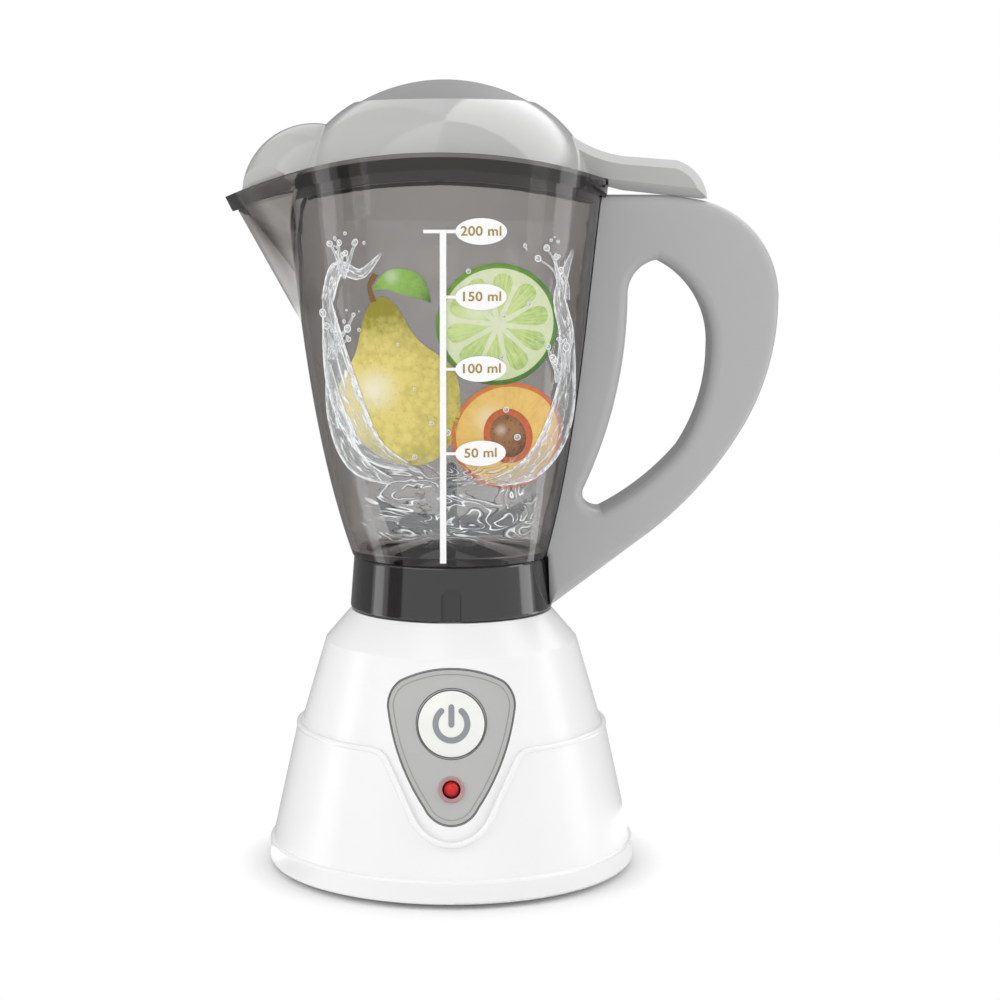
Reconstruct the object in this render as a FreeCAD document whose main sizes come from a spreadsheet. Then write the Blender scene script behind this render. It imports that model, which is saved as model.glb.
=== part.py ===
"""Toy blender: a battery base with a push button, a lift-off jug with blades, and a lift-off lid.

Frame: origin at the centre of the ring of feet, on the surface that they stand on. +Z up, +X towards the
handle, -X towards the spout, -Y towards the front with the button. Millimetres.
"""
import FreeCAD, Part
import math
import os
import Sketcher

doc = FreeCAD.newDocument("toy_blender")

# ------------------------------------------------------------------ driving dimensions
# alias, value in millimetres (degrees for *_angle, a count for *_teeth), what it is
SIZES = [
    ("clearance", 0.3, "gap between pieces that move past each other"),
    ("snug", 0.15, "gap between pieces fixed to each other"),
    ("running_gap", 0.05, "radial gap of a shaft in its bush"),
    # base
    ("underside", 1.2, "height of the base's underside above the ground"),
    ("base_radius", 45.0, "outer radius of the skirt band"),
    ("band_height", 6.9, "height of the skirt band's upper edge"),
    ("band_edge", 0.8, "rounding of the skirt band's edges"),
    ("ledge", 2.5, "width of the ring inside the skirt that the base plate seats on"),
    ("housing_wall", 2.0, "wall of the lower shell"),
    ("upper_wall", 2.4, "wall of the upper shell"),
    ("seam_height", 35.0, "height of the seam between the two shells"),
    ("seam_radius", 38.0, "outer radius of the lower shell at the seam"),
    ("seam_inset", 0.9, "how far the upper shell stands inside the lower one"),
    ("nest_depth", 3.5, "how far the upper shell's spigot reaches into the lower shell"),
    ("shoulder_height", 56.2, "height of the shoulder crease"),
    ("shoulder_radius", 30.9, "outer radius at the shoulder crease"),
    ("neck_height", 63.5, "height of the ledge that the jug's collar stands on"),
    ("neck_radius", 24.6, "outer radius of that ledge"),
    ("boss_radius", 21.2, "radius of the round boss that the collar slides over"),
    ("tongue_bottom", 14.7, "lowest point of the notch in the lower shell"),
    ("tongue_radius", 10.5, "radius of the notch's rounded bottom"),
    ("tongue_flank_x", 9.2, "half width where the notch's round bottom meets its flanks"),
    ("tongue_half_width", 17.6, "half width of the notch at the seam"),
    ("plate_thickness", 2.6, "base plate"),
    ("foot_radius", 4.2, "rubber foot"),
    ("foot_edge", 0.4, "rounding of the foot's lower edge"),
    ("foot_sink", 0.8, "depth of the foot's seat in the base plate"),
    ("foot_inset", 7.4, "distance of the feet's centres from the skirt's outside"),
    ("post_circle", 31.4, "radius of the circle of the housing's screw posts"),
    ("post_radius", 3.0, "screw post"),
    ("screw_radius", 1.3, "shank of a housing screw"),
    ("screw_head_radius", 2.5, "head of a housing screw"),
    ("screw_head_height", 1.4, "head of a housing screw"),
    ("screw_bite", 9.0, "depth of a housing screw in its post"),
    ("carrier_circle", 23.6, "radius of the circle of the gear carrier's screws"),
    # control panel
    ("panel_thickness", 1.6, "control panel"),
    ("panel_sink", 0.2, "how far the panel's face lies under the shell's"),
    ("panel_shoulder_x", 12.0, "half width at the ends of the arched top edge"),
    ("panel_shoulder_z", 51.0, "height of those ends"),
    ("panel_half_width", 15.0, "half width at the widest place"),
    ("panel_widest_z", 45.1, "height of the widest place"),
    ("panel_flank_x", 6.3, "half width where the flanks meet the rounded bottom"),
    ("panel_flank_z", 22.7, "height of that place"),
    ("panel_top_radius", 24.8, "radius of the arched top edge"),
    ("panel_corner_radius", 7.5, "radius of the upper corners"),
    ("panel_side_radius", 50.0, "radius of the long flanks"),
    ("panel_tip_radius", 7.0, "radius of the bottom"),
    ("panel_angle", 15.0, "how far the button's axis points up, degrees"),
    ("button_height", 41.7, "height of the button's centre"),
    ("button_radius", 7.7, "push button"),
    ("button_travel", 1.2, "stroke of the push button"),
    ("button_crown", 30.0, "radius of the button's domed face"),
    ("button_proud", 0.7, "how far the button's crown stands out of the panel"),
    ("button_flange", 8.8, "radius of the flange that keeps the button in"),
    ("flange_depth", 3.8, "distance of that flange behind the panel's face"),
    ("flange_thickness", 0.8, "that flange"),
    ("stem_depth", 5.2, "end of the button's stem behind the panel's face"),
    ("lamp_height", 27.0, "height of the indicator lamp's centre"),
    ("lamp_radius", 2.1, "indicator lamp"),
    ("lamp_ring_radius", 3.1, "ring round the lamp"),
    ("board_depth", 10.0, "distance of the circuit board behind the panel's face"),
    ("board_thickness", 1.2, "circuit board"),
    ("board_width", 23.0, "circuit board"),
    ("board_inset", 2.5, "distance of the board's screws from its edges"),
    ("board_low_half", 5.0, "half spacing of the board's lower screws"),
    ("board_post_radius", 2.0, "posts that carry the circuit board"),
    ("board_screw_radius", 0.8, "shank of a small screw"),
    ("board_screw_bite", 4.0, "depth of a small screw in its post"),
    ("small_head_radius", 1.7, "head of a small screw"),
    ("small_head_height", 0.9, "head of a small screw"),
    ("plunger_reach", 1.0, "length of the plunger inside the switch at rest"),
    ("lamp_proud", 1.0, "how far the lamp's dome stands out of the panel"),
    ("lead_radius", 0.3, "the lamp's two leads"),
    ("board_above", 9.0, "reach of the circuit board above the button's axis"),
    ("board_below", 22.0, "reach of the circuit board below the button's axis"),
    ("switch_size", 6.2, "side of the tact switch"),
    ("switch_height", 3.3, "tact switch"),
    ("plunger_radius", 1.7, "plunger of the tact switch"),
    # batteries and drive
    ("cell_radius", 7.1, "battery cell"),
    ("cell_length", 49.0, "battery cell without its nub"),
    ("nub_radius", 2.7, "battery cell's positive nub"),
    ("nub_length", 1.2, "battery cell's positive nub"),
    ("cell_pitch", 14.9, "distance between the two cells' axes"),
    ("cell_edge", 0.8, "rounding of the cell's ends"),
    ("contact_gap", 0.05, "gap between a contact's bump and its cell"),
    ("ear_radius", 3.6, "battery door's screw ear"),
    ("bay_length", 56.0, "battery bay inside"),
    ("bay_width", 30.4, "battery bay inside"),
    ("bay_depth", 16.2, "battery bay inside, from the underside"),
    ("bay_wall", 1.5, "battery bay's walls and roof"),
    ("contact_thickness", 0.4, "battery contacts"),
    ("door_thickness", 1.5, "battery door"),
    ("door_lap", 1.4, "how far the door laps the plate round the bay"),
    ("motor_offset", 16.0, "distance between the motor shaft and the drive shaft"),
    ("motor_radius", 10.0, "motor can"),
    ("motor_flat", 7.6, "distance of the motor can's flats from its axis"),
    ("motor_top", 45.6, "top of the motor can"),
    ("motor_cap_top", 24.6, "top of the motor's plastic end cap"),
    ("motor_seat", 0.5, "ring on the bay's roof that the motor stands on"),
    ("motor_seat_radius", 5.0, "that ring"),
    ("seat_share", 0.62, "place of that ring, as a share of the motor's offset"),
    ("motor_bearing_radius", 3.0, "round bearing boss on the motor can"),
    ("motor_shaft_radius", 1.0, "motor shaft"),
    ("carrier_thickness", 2.2, "gear carrier plate"),
    ("carrier_radius", 27.6, "gear carrier plate"),
    ("carrier_front", 17.0, "flat front edge of the gear carrier plate, from the axis"),
    ("carrier_grip", 6.0, "depth of the carrier's two jaws beside the motor"),
    ("tooth_root", 1.02, "half width of a tooth at its root, in modules"),
    ("tooth_middle", 0.64, "half width of a tooth at the pitch circle, in modules"),
    ("tooth_tip", 0.3, "half width of a tooth at its tip, in modules"),
    ("gear_hub_radius", 4.0, "hub of the drive gear"),
    ("gear_window", 2.0, "lightening holes of the drive gear"),
    ("gear_window_circle", 7.4, "radius of the circle of those holes"),
    ("gear_module", 0.8, "tooth size of the gear pair"),
    ("gear_teeth", 30, "drive gear"),
    ("pinion_teeth", 10, "motor pinion"),
    ("gear_width", 3.6, "face width of the drive gear"),
    ("gear_bottom", 49.6, "underside of the drive gear"),
    ("shaft_radius", 1.5, "drive shaft and blade shaft"),
    ("bush_radius", 3.0, "outer radius of the bushes"),
    ("bush_rise", 5.3, "height of the upper bush's lower end over the drive gear"),
    ("lower_bush_length", 4.7, "lower bush of the drive shaft"),
    ("dog_radius", 6.0, "drive coupling over its lobes"),
    ("dog_core", 4.2, "drive coupling between its lobes"),
    ("dog_half", 1.1, "half width of a lobe"),
    ("cup_web", 1.9, "closed end of the driven coupling"),
    ("dog_height", 3.2, "drive coupling's lobes"),
    ("cup_radius", 8.6, "driven coupling"),
    # jug
    ("collar_radius", 24.8, "outer radius of the collar at the bottom"),
    ("collar_top_radius", 23.9, "outer radius of the collar at the top"),
    ("collar_slot_width", 4.7, "locating groove on the collar's front"),
    ("collar_slot_depth", 0.7, "depth of that groove"),
    ("web_radius", 19.5, "inner radius of the collar's web under the floor"),
    ("jug_wall", 1.6, "jug's wall"),
    ("jug_neck_radius", 22.7, "jug's ring inside the collar"),
    ("jug_foot_radius", 24.3, "jug's outer radius just above the collar"),
    ("jug_low_radius", 29.5, "outer radius there"),
    ("jug_low_x", -0.8, "centre there"),
    ("jug_mid_radius", 34.2, "outer radius there"),
    ("jug_mid_x", -1.45, "centre there"),
    ("jug_top_radius", 41.4, "outer radius there"),
    ("jug_top_x", -1.8, "centre there"),
    ("rim_crown_x", -3.0, "place of the arch's top"),
    ("rim_arch", 145.0, "radius of the rim's arch"),
    ("rim_half_span", 66.0, "half width of the forms that trim to the arch"),
    ("lip_height", 3.9, "band that thickens the rim"),
    ("lip_proud", 0.9, "how far that band stands out"),
    ("spout_foot_x", -36.8, "place of the spout's keel there"),
    ("spout_slope", 0.555, "how far the keel runs outwards per millimetre of height"),
    ("spout_root_x", -27.0, "where the spout's flanks end inside the jug"),
    ("spout_start_angle", 12.0, "half angle of the spout there, degrees"),
    ("spout_bay_angle", 16.6, "half angle there, degrees"),
    ("spout_low_angle", 24.0, "half angle there, degrees"),
    ("spout_mid_angle", 38.0, "half angle there, degrees"),
    ("spout_high_angle", 43.5, "half angle there, degrees"),
    ("spout_top_angle", 37.0, "half angle there, degrees"),
    ("floor_flange", 2.0, "thickness of the floor's flange"),
    ("floor_radius", 22.5, "outer radius of the floor's flange"),
    ("seal_height", 1.2, "rubber ring between floor and jug"),
    ("hump_radius", 20.6, "the floor's hump at its foot"),
    ("floor_wall", 1.5, "walls of the jug's floor"),
    ("film_thickness", 0.3, "printed film on the jug's front"),
    ("film_half_width", 24.0, "half width of the film, seen from the front"),
    # blades
    ("blade_hub_radius", 3.6, "blade hub"),
    ("blade_post_radius", 1.4, "thin post on the hub"),
    ("wing_reach", 18.6, "radius of the wings' outer corners"),
    ("wing_heel", 15.0, "radius of the wings' lower corners"),
    ("wing_lift", 0.6, "height of the wings' lower edge above the hub's underside"),
    ("wing_notch", 3.2, "where the wings' top edge meets the post"),
    ("wing_dip", 0.6, "how far the top edge dips there"),
    ("wing_curve", 26.0, "curve of the wings' top edge"),
    ("wing_pitch", 14.0, "pitch of the wings, degrees"),
    ("wing_thickness", 1.5, "wing"),
    # handle
    ("handle_half", 8.5, "half of the handle's thickness across"),
    ("handle_gap", 0.15, "gap between the handle and the jug"),
    ("handle_edge", 2.4, "rounding of the handle's edges"),
    ("handle_mid_x", 48.0, "middle of the handle's flat top"),
    ("handle_top_radius", 60.0, "crown of the handle's top"),
    ("handle_screw_length", 10.0, "handle screws"),
    ("handle_screw_sink", 2.0, "how far their heads lie under the surface"),
    ("handle_brow_x", 61.0, "where the handle's top turns down"),
    ("handle_reach", 78.5, "handle's outermost place"),
    ("handle_elbow_x", 69.2, "where the grip turns in"),
    ("handle_knee_x", 48.5, "where the handle's lower run begins"),
    ("handle_foot_x", 24.0, "lower end of the handle at the collar"),
    ("handle_brow_radius", 24.0, "turn at the handle's top"),
    ("handle_grip_radius", 60.0, "curve of the grip"),
    ("handle_run_radius", 90.0, "curve below the grip"),
    ("opening_top_x", 49.5, "top of the finger opening"),
    ("opening_reach", 62.5, "outermost place of the finger opening"),
    ("opening_elbow_x", 55.4, "outer side lower down"),
    ("opening_low_x", 36.4, "lower end of the finger opening"),
    ("opening_heel_x", 31.9, "inner side at the lower end"),
    ("opening_side_x", 42.3, "inner side at the top"),
    ("opening_brow_radius", 22.0, "outer top of the finger opening"),
    ("opening_grip_radius", 44.0, "outer side of the finger opening"),
    ("opening_run_radius", 62.0, "outer side lower down"),
    ("opening_low_radius", 4.2, "lower end of the finger opening"),
    ("opening_side_radius", 110.0, "inner side of the finger opening"),
    ("opening_top_radius", 8.4, "inner top corner of the finger opening"),
    ("lug_half", 2.0, "half thickness of the jug's lugs inside the handle"),
    ("lug_height", 6.0, "jug's lugs inside the handle"),
    ("upper_lug_x", 40.6, "end of the upper lug"),
    ("lower_lug_x", 31.0, "end of the lower lug"),
    # lid
    ("lid_lean", -1.6, "place of the lid's axis"),
    ("lid_wall", 1.5, "lid's wall"),
    ("cap_radius", 20.8, "lid cap"),
    ("cap_rebate", 1.6, "depth of the cap's seat"),
    ("dome_foot_radius", 35.4, "lid's dome where it dives into the rim"),
    ("dome_arc", 29.0, "radius of the dome's outline"),
    ("dome_top_radius", 21.9, "dome where it meets the cap"),
    ("dome_reach", 5.2, "how far the dome's wall reaches under the rim"),
    ("skirt_depth", 6.2, "how far the dark skirt reaches under the rim"),
    ("skirt_top_gap", 0.9, "how far the skirt's top lies under the rim"),
    ("skirt_gap", 0.35, "gap between the skirt and the jug's wall"),
    ("hood_x", -33.0, "centre of the spout cover"),
    ("hood_length", 17.5, "half length of the spout cover"),
    ("hood_width", 15.0, "half width of the spout cover"),
    ("hood_rise", 17.3, "height of the spout cover over its centre"),
    ("hood_gap", 0.45, "gap between the spout cover and the spout"),
    ("hood_reach", 3.2, "how far the spout cover reaches under the rim"),
    ("tab_half", 9.0, "half width of the thumb tab"),
    ("tab_edge", 2.0, "bevel of the thumb tab"),
    ("tab_root_x", 26.0, "where the thumb tab leaves the dome"),
    ("tab_neck_x", 40.6, "end of the tab's hollow neck"),
    ("tab_neck_radius", 30.0, "curve of that neck"),
    ("tab_brow_x", 53.5, "where the tab's top turns down"),
    ("tab_end_x", 61.0, "end of the thumb tab"),
    ("tab_end_radius", 10.0, "curve of the thumb tab's end"),
    ("tab_under_x", 41.6, "underside beside the rim"),
    ("lift_gap", 0.35, "gap between the thumb tab and the rim"),
]
# heights over the ledge that the jug's collar stands on, so that the jug rises and sinks with it
LEDGE_SIZES = [
    ("boss_height", 4.7, "height of the boss's top"),
    ("collar_bottom", 0.3, "lower edge of the jug's collar"),
    ("collar_top", 13.5, "upper edge of the jug's collar"),
    ("collar_slot_top", 8.8, "top of that groove"),
    ("jug_low_z", 34.5, "height of the second section"),
    ("jug_mid_z", 64.5, "height of the third section"),
    ("jug_top_z", 122.5, "height of the topmost section, above the rim"),
    ("rim_crown", 109.7, "height of the arched rim's top"),
    ("spout_foot_z", 70.5, "height where the spout grows out of the wall"),
    ("spout_start_z", 66.5, "lowest section of the spout, inside the wall"),
    ("spout_bay_z", 75.5, "lowest section of the spout's hollow"),
    ("spout_low_z", 90.0, "next section"),
    ("spout_mid_z", 97.5, "next section"),
    ("spout_high_z", 104.5, "next section"),
    ("spout_top_z", 124.5, "topmost section, above the rim"),
    ("floor_bottom", 7.0, "underside of the jug's floor"),
    ("hump_height", 17.1, "top of the floor's hump"),
    ("film_low", 20.5, "lower edge of the film"),
    ("film_high", 94.5, "upper edge of the film"),
    ("blade_hub_bottom", 17.6, "underside of the blade hub"),
    ("blade_hub_top", 22.5, "top of the blade hub"),
    ("blade_post_top", 35.9, "top of the post"),
    ("wing_top", 27.3, "height of the wings' outer corners"),
    ("handle_top", 100.7, "height of the handle's top beside the rim"),
    ("handle_brow_z", 99.1, "height of that place"),
    ("handle_reach_z", 74.8, "height of that place"),
    ("handle_elbow_z", 43.0, "height of that place"),
    ("handle_knee_z", 19.7, "height of that place"),
    ("handle_foot_z", 1.3, "height of that place"),
    ("opening_top_z", 85.3, "height of that place"),
    ("opening_reach_z", 64.0, "height of that place"),
    ("opening_elbow_z", 39.8, "height of that place"),
    ("opening_low_z", 24.7, "height of that place"),
    ("opening_heel_z", 29.9, "height of that place"),
    ("opening_side_z", 76.5, "height of that place"),
    ("upper_lug_z", 87.5, "underside of the upper lug"),
    ("lower_lug_z", 16.9, "underside of the lower lug"),
    ("cap_edge_z", 122.5, "height of the cap's edge"),
    ("cap_crown_z", 128.1, "height of the cap's top"),
    ("dome_foot_z", 105.9, "height of that place"),
    ("hood_z", 100.5, "height of that centre"),
    ("tab_root_z", 116.5, "height of that place"),
    ("tab_neck_z", 109.8, "height of that place"),
    ("tab_brow_z", 108.8, "height of that place"),
    ("tab_end_z", 99.8, "lower edge of the thumb tab's end"),
    ("tab_under_z", 101.9, "height of that place"),
]

sheet = doc.addObject("Spreadsheet::Sheet", "Sizes")
for row, (alias, value, note) in enumerate(SIZES + LEDGE_SIZES, start=1):
    sheet.set("A%d" % row, alias)
    sheet.set("B%d" % row, "%.6g" % value)
    sheet.set("C%d" % row, note)
    sheet.setAlias("B%d" % row, alias)
doc.recompute()
ON_LEDGE = [alias for alias, value, note in LEDGE_SIZES]


class Size:
    """A length that knows its value now and the expression that ties it to the spreadsheet."""

    def __init__(self, value, text):
        self.value = float(value)
        self.text = text

    def __add__(self, other):
        other = as_size(other)
        return Size(self.value + other.value, "(%s + %s)" % (self.text, other.text))

    def __sub__(self, other):
        other = as_size(other)
        return Size(self.value - other.value, "(%s - %s)" % (self.text, other.text))

    def __mul__(self, other):
        other = as_size(other)
        return Size(self.value * other.value, "(%s * %s)" % (self.text, other.text))

    def __truediv__(self, other):
        other = as_size(other)
        return Size(self.value / other.value, "(%s / %s)" % (self.text, other.text))

    def __radd__(self, other):
        return as_size(other) + self

    def __rsub__(self, other):
        return as_size(other) - self

    def __rmul__(self, other):
        return as_size(other) * self

    def __neg__(self):
        return as_size(-1) * self


def as_size(number):
    if isinstance(number, Size):
        return number
    return Size(number, "%.9g" % number)


def root_of(size):
    return Size(math.sqrt(size.value), "sqrt(%s)" % size.text)


def turned(size, degrees):
    """Components of a size laid out at a fixed angle in degrees."""
    angle = math.radians(degrees)
    return size * round(math.cos(angle), 9), size * round(math.sin(angle), 9)


class Sheet:
    """Reads S.name as the Size of the cell with that alias, a height over the ledge as one over the
    ground."""

    def __getattr__(self, alias):
        size = Size(sheet.get(alias), "Sizes." + alias)
        return self.neck_height + size if alias in ON_LEDGE else size


S = Sheet()
PARTS = []


def bind(obj, path, size):
    size = as_size(size)
    obj.setExpression(path, size.text)


def place(obj, x=0, y=0, z=0):
    for axis, size in (("x", x), ("y", y), ("z", z)):
        if isinstance(size, Size) or size:
            bind(obj, "Placement.Base." + axis, size)
    return obj


def finished(label, obj):
    """Marks an object as one of the blender's separate pieces."""
    obj.Label = label
    PARTS.append((label, obj))
    return obj


# ------------------------------------------------------------------ sketches and features
def new_body(name):
    return doc.addObject("PartDesign::Body", name)


def origin_plane(body, role):
    return [item for item in body.Origin.OriginFeatures if item.Role == role][0]


def new_sketch(body, name, role, offset=0):
    sketch = body.newObject("Sketcher::SketchObject", name)
    sketch.AttachmentSupport = [(origin_plane(body, role), "")]
    sketch.MapMode = "FlatFace"
    if isinstance(offset, Size) or offset:
        bind(sketch, "AttachmentOffset.Base.z", offset)
    return sketch


def pin_point(sketch, edge, end, x, y):
    """Ties one end of an edge to its place from the origin."""
    for kind, axis, size in (("DistanceX", -2, as_size(x)), ("DistanceY", -1, as_size(y))):
        if size.text == "0":
            sketch.addConstraint(Sketcher.Constraint("PointOnObject", edge, end, axis))
            continue
        index = sketch.addConstraint(Sketcher.Constraint(kind, -1, 1, edge, end, size.value))
        sketch.setExpression("Constraints[%d]" % index, size.text)


def arc_through(start, end, radius):
    """Arc from start to end; a positive radius turns left, a negative one turns right."""
    first, last = FreeCAD.Vector(*start, 0), FreeCAD.Vector(*end, 0)
    chord = last - first
    left = FreeCAD.Vector(-chord.y, chord.x, 0).normalize()
    rise = math.sqrt(max(radius * radius - chord.Length ** 2 / 4, 0))
    centre = (first + last) / 2 + left * (rise if radius > 0 else -rise)
    begin, finish = (first, last) if radius > 0 else (last, first)
    angles = [math.atan2(p.y - centre.y, p.x - centre.x) for p in (begin, finish)]
    circle = Part.Circle(centre, FreeCAD.Vector(0, 0, 1), abs(radius))
    return Part.ArcOfCircle(circle, angles[0], angles[1])


def outline(sketch, corners):
    """Closed outline of lines and arcs. A corner is (x, y), or (x, y, radius) when the edge that
    leads to it is an arc."""
    points = [(as_size(c[0]), as_size(c[1])) for c in corners]
    ends = []
    for index, corner in enumerate(corners):
        start = tuple(size.value for size in points[index - 1])
        end = tuple(size.value for size in points[index])
        if len(corner) == 2:
            edge = Part.LineSegment(FreeCAD.Vector(*start, 0), FreeCAD.Vector(*end, 0))
            ends.append((sketch.addGeometry(edge, False), 1, 2))
            continue
        radius = as_size(corner[2])
        number = sketch.addGeometry(arc_through(start, end, radius.value), False)
        ends.append((number, 1, 2) if radius.value > 0 else (number, 2, 1))
        held = sketch.addConstraint(Sketcher.Constraint("Radius", number, abs(radius.value)))
        if isinstance(corner[2], Size):
            sketch.setExpression("Constraints[%d]" % held,
                                 radius.text if radius.value > 0 else "-" + radius.text)
    for index, (edge, begin, finish) in enumerate(ends):
        following = ends[(index + 1) % len(ends)]
        sketch.addConstraint(Sketcher.Constraint("Coincident", edge, finish, following[0], following[1]))
        pin_point(sketch, edge, finish, *points[index])
    return sketch


def ring(sketch, radius, x=0, y=0):
    """Circle of a given radius about (x, y)."""
    x, y, radius = as_size(x), as_size(y), as_size(radius)
    centre = FreeCAD.Vector(x.value, y.value, 0)
    edge = sketch.addGeometry(Part.Circle(centre, FreeCAD.Vector(0, 0, 1), radius.value), False)
    pin_point(sketch, edge, 3, x, y)
    held = sketch.addConstraint(Sketcher.Constraint("Radius", edge, radius.value))
    sketch.setExpression("Constraints[%d]" % held, radius.text)
    return sketch


def feature(body, kind, name, sketch, **settings):
    made = body.newObject("PartDesign::" + kind, name)
    made.Profile = sketch
    for key, value in settings.items():
        if isinstance(value, Size):
            bind(made, key, value)
        else:
            setattr(made, key, value)
    sketch.Visibility = False
    return made


def turned_body(name, corners):
    """Body of revolution about Z, from its half outline in the XZ plane."""
    body = new_body(name)
    sketch = outline(new_sketch(body, name + "_outline", "XZ_Plane"), corners)
    feature(body, "Revolution", name + "_turned", sketch, ReferenceAxis=(sketch, ["V_Axis"]), Angle=360)
    return body


def block_body(name, role, corners, length, midplane=False, backwards=False, offset=0):
    """Body padded from a closed outline."""
    body = new_body(name)
    sketch = outline(new_sketch(body, name + "_outline", role, offset), corners)
    feature(body, "Pad", name + "_pad", sketch, Length=length, Midplane=midplane, Reversed=backwards)
    return body


def rectangle(x0, x1, y0, y1):
    return [(x0, y0), (x1, y0), (x1, y1), (x0, y1)]


def cylinder(name, radius, bottom, top, x=0, y=0):
    made = doc.addObject("Part::Cylinder", name)
    bind(made, "Radius", radius)
    bind(made, "Height", as_size(top) - bottom)
    return place(made, x, y, as_size(bottom))


def box(name, x0, x1, y0, y1, z0, z1):
    made = doc.addObject("Part::Box", name)
    for key, low, high in (("Length", x0, x1), ("Width", y0, y1), ("Height", z0, z1)):
        bind(made, key, as_size(high) - low)
    return place(made, as_size(x0), as_size(y0), as_size(z0))


def fuse(name, *shapes):
    made = doc.addObject("Part::MultiFuse", name)
    made.Shapes = list(shapes)
    made.Refine = False
    return made


def cut(name, base, *tools):
    made = doc.addObject("Part::Cut", name)
    made.Base = base
    made.Tool = tools[0] if len(tools) == 1 else fuse(name + "_tools", *tools)
    made.Refine = False
    return made


def common(name, base, tool):
    made = doc.addObject("Part::Common", name)
    made.Base = base
    made.Tool = tool
    made.Refine = False
    return made


def group(name, *shapes):
    """Identical pieces kept as separate solids in one node."""
    made = doc.addObject("Part::Compound", name)
    made.Links = list(shapes)
    return made


def angle_text(size):
    return "(%s) * 1 deg" % size.text


def cosine(size):
    return Size(math.cos(math.radians(size.value)), "cos(%s)" % angle_text(size))


def sine(size):
    return Size(math.sin(math.radians(size.value)), "sin(%s)" % angle_text(size))


def tangent(size):
    return Size(math.tan(math.radians(size.value)), "tan(%s)" % angle_text(size))


def spin(obj, axis, degrees):
    """Turns an object about one of its own axes by a size in degrees."""
    rotation = FreeCAD.Rotation(FreeCAD.Vector(*axis), degrees.value)
    obj.Placement = FreeCAD.Placement(obj.Placement.Base, rotation)
    obj.setExpression("Placement.Rotation.Angle", angle_text(degrees))
    return obj


# ------------------------------------------------------------------ heights that several pieces share
plate_top = S.underside + S.plate_thickness
bay_roof = S.underside + S.bay_depth
motor_foot = bay_roof + S.bay_wall + S.motor_seat
carrier_top = S.motor_top + S.carrier_thickness
cell_axis_z = S.underside + S.door_thickness + S.cell_radius + S.clearance
floor_deck = S.floor_bottom + S.floor_flange
jug_bottom = floor_deck + S.seal_height
bush_end = S.gear_bottom + S.gear_width + S.bush_rise
coupling_bottom = S.boss_height + S.clearance
coupling_top = coupling_bottom + S.dog_height
cup_bottom = coupling_bottom + S.clearance
cup_roof = coupling_top + 2 * S.clearance
cup_top = cup_roof + S.cup_web
foot_circle = S.base_radius - S.foot_inset
CORNERS = (45, 135, 225, 315)
FEET = (("front_right", 338), ("back_right", 22), ("back_left", 158), ("front_left", 202))
CARRIER_SCREWS = (0, 60, 180)


def around(circle, angles):
    return [turned(circle, degrees) for degrees in angles]


# ------------------------------------------------------------------ shared forms of the housing
def flank(height):
    """Outer radius of the lower shell's cone at a height."""
    slope = (S.base_radius - S.band_edge - S.seam_radius) / (S.seam_height - S.band_height)
    return S.seam_radius + slope * (S.seam_height - height)


def upper_flank(height):
    """Outer radius of the upper shell's cone at a height."""
    foot = S.seam_radius - S.seam_inset
    slope = (foot - S.shoulder_radius) / (S.shoulder_height - S.seam_height)
    return foot + slope * (S.seam_height - height)


def panel_face(height):
    """Distance of the panel's face from the base's axis at a height."""
    face = upper_flank(height) if height.value > S.seam_height.value else flank(height) - S.seam_inset
    return face - S.panel_sink


def on_panel(obj, height, depth=0, x=0, up=0):
    """Stands an object's own Z along the button's axis, depth behind the panel's face at a height, and
    moves it up the panel."""
    depth, up = as_size(depth), as_size(up)
    spin(obj, (1, 0, 0), 90 - S.panel_angle)
    y = depth * cosine(S.panel_angle) + up * sine(S.panel_angle) - panel_face(height)
    z = height - depth * sine(S.panel_angle) + up * cosine(S.panel_angle)
    return place(obj, x, y, z)


def front_rod(name, height, radius, out, into, x=0, up=0):
    """Cylinder along the button's axis, from out before the panel's face to into behind it."""
    rod = doc.addObject("Part::Cylinder", name)
    bind(rod, "Radius", radius)
    bind(rod, "Height", as_size(into) + out)
    return on_panel(rod, height, into, x, up)


def lamp_board_depth():
    """Distance from the panel's face at the lamp to the front of the circuit board."""
    back = panel_face(S.lamp_height) - panel_face(S.button_height)
    rise = S.lamp_height - S.button_height
    return S.board_depth + back * cosine(S.panel_angle) + rise * sine(S.panel_angle)


def notch(name, grow, top):
    """Prism of the rounded V in the lower shell's front, larger all round by grow."""
    radius, knee_x = S.tongue_radius + grow, S.tongue_flank_x + grow
    knee_z = S.tongue_bottom + S.tongue_radius - root_of(radius * radius - knee_x * knee_x)
    top_x = S.tongue_half_width + grow
    corners = [(-top_x, top), (-knee_x, knee_z), (knee_x, knee_z, radius), (top_x, top)]
    return block_body(name, "XZ_Plane", corners, S.base_radius + S.base_radius)


def panel_prism(name, grow):
    """Prism of the shield-shaped panel, larger all round by grow."""
    shoulder_x, shoulder_z = S.panel_shoulder_x + grow, S.panel_shoulder_z + grow
    side_x, side_z = S.panel_half_width + grow, S.panel_widest_z
    tip_x, tip_z = S.panel_flank_x + grow, S.panel_flank_z - grow / 2
    corner, side, tip = S.panel_corner_radius + grow, S.panel_side_radius + grow, S.panel_tip_radius + grow
    corners = [
        (shoulder_x, shoulder_z, -(S.panel_top_radius + grow)),
        (side_x, side_z, -corner),
        (tip_x, tip_z, -side),
        (-tip_x, tip_z, -tip),
        (-side_x, side_z, -side),
        (-shoulder_x, shoulder_z, -corner),
    ]
    return block_body(name, "XZ_Plane", corners, S.base_radius + S.base_radius)


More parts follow.
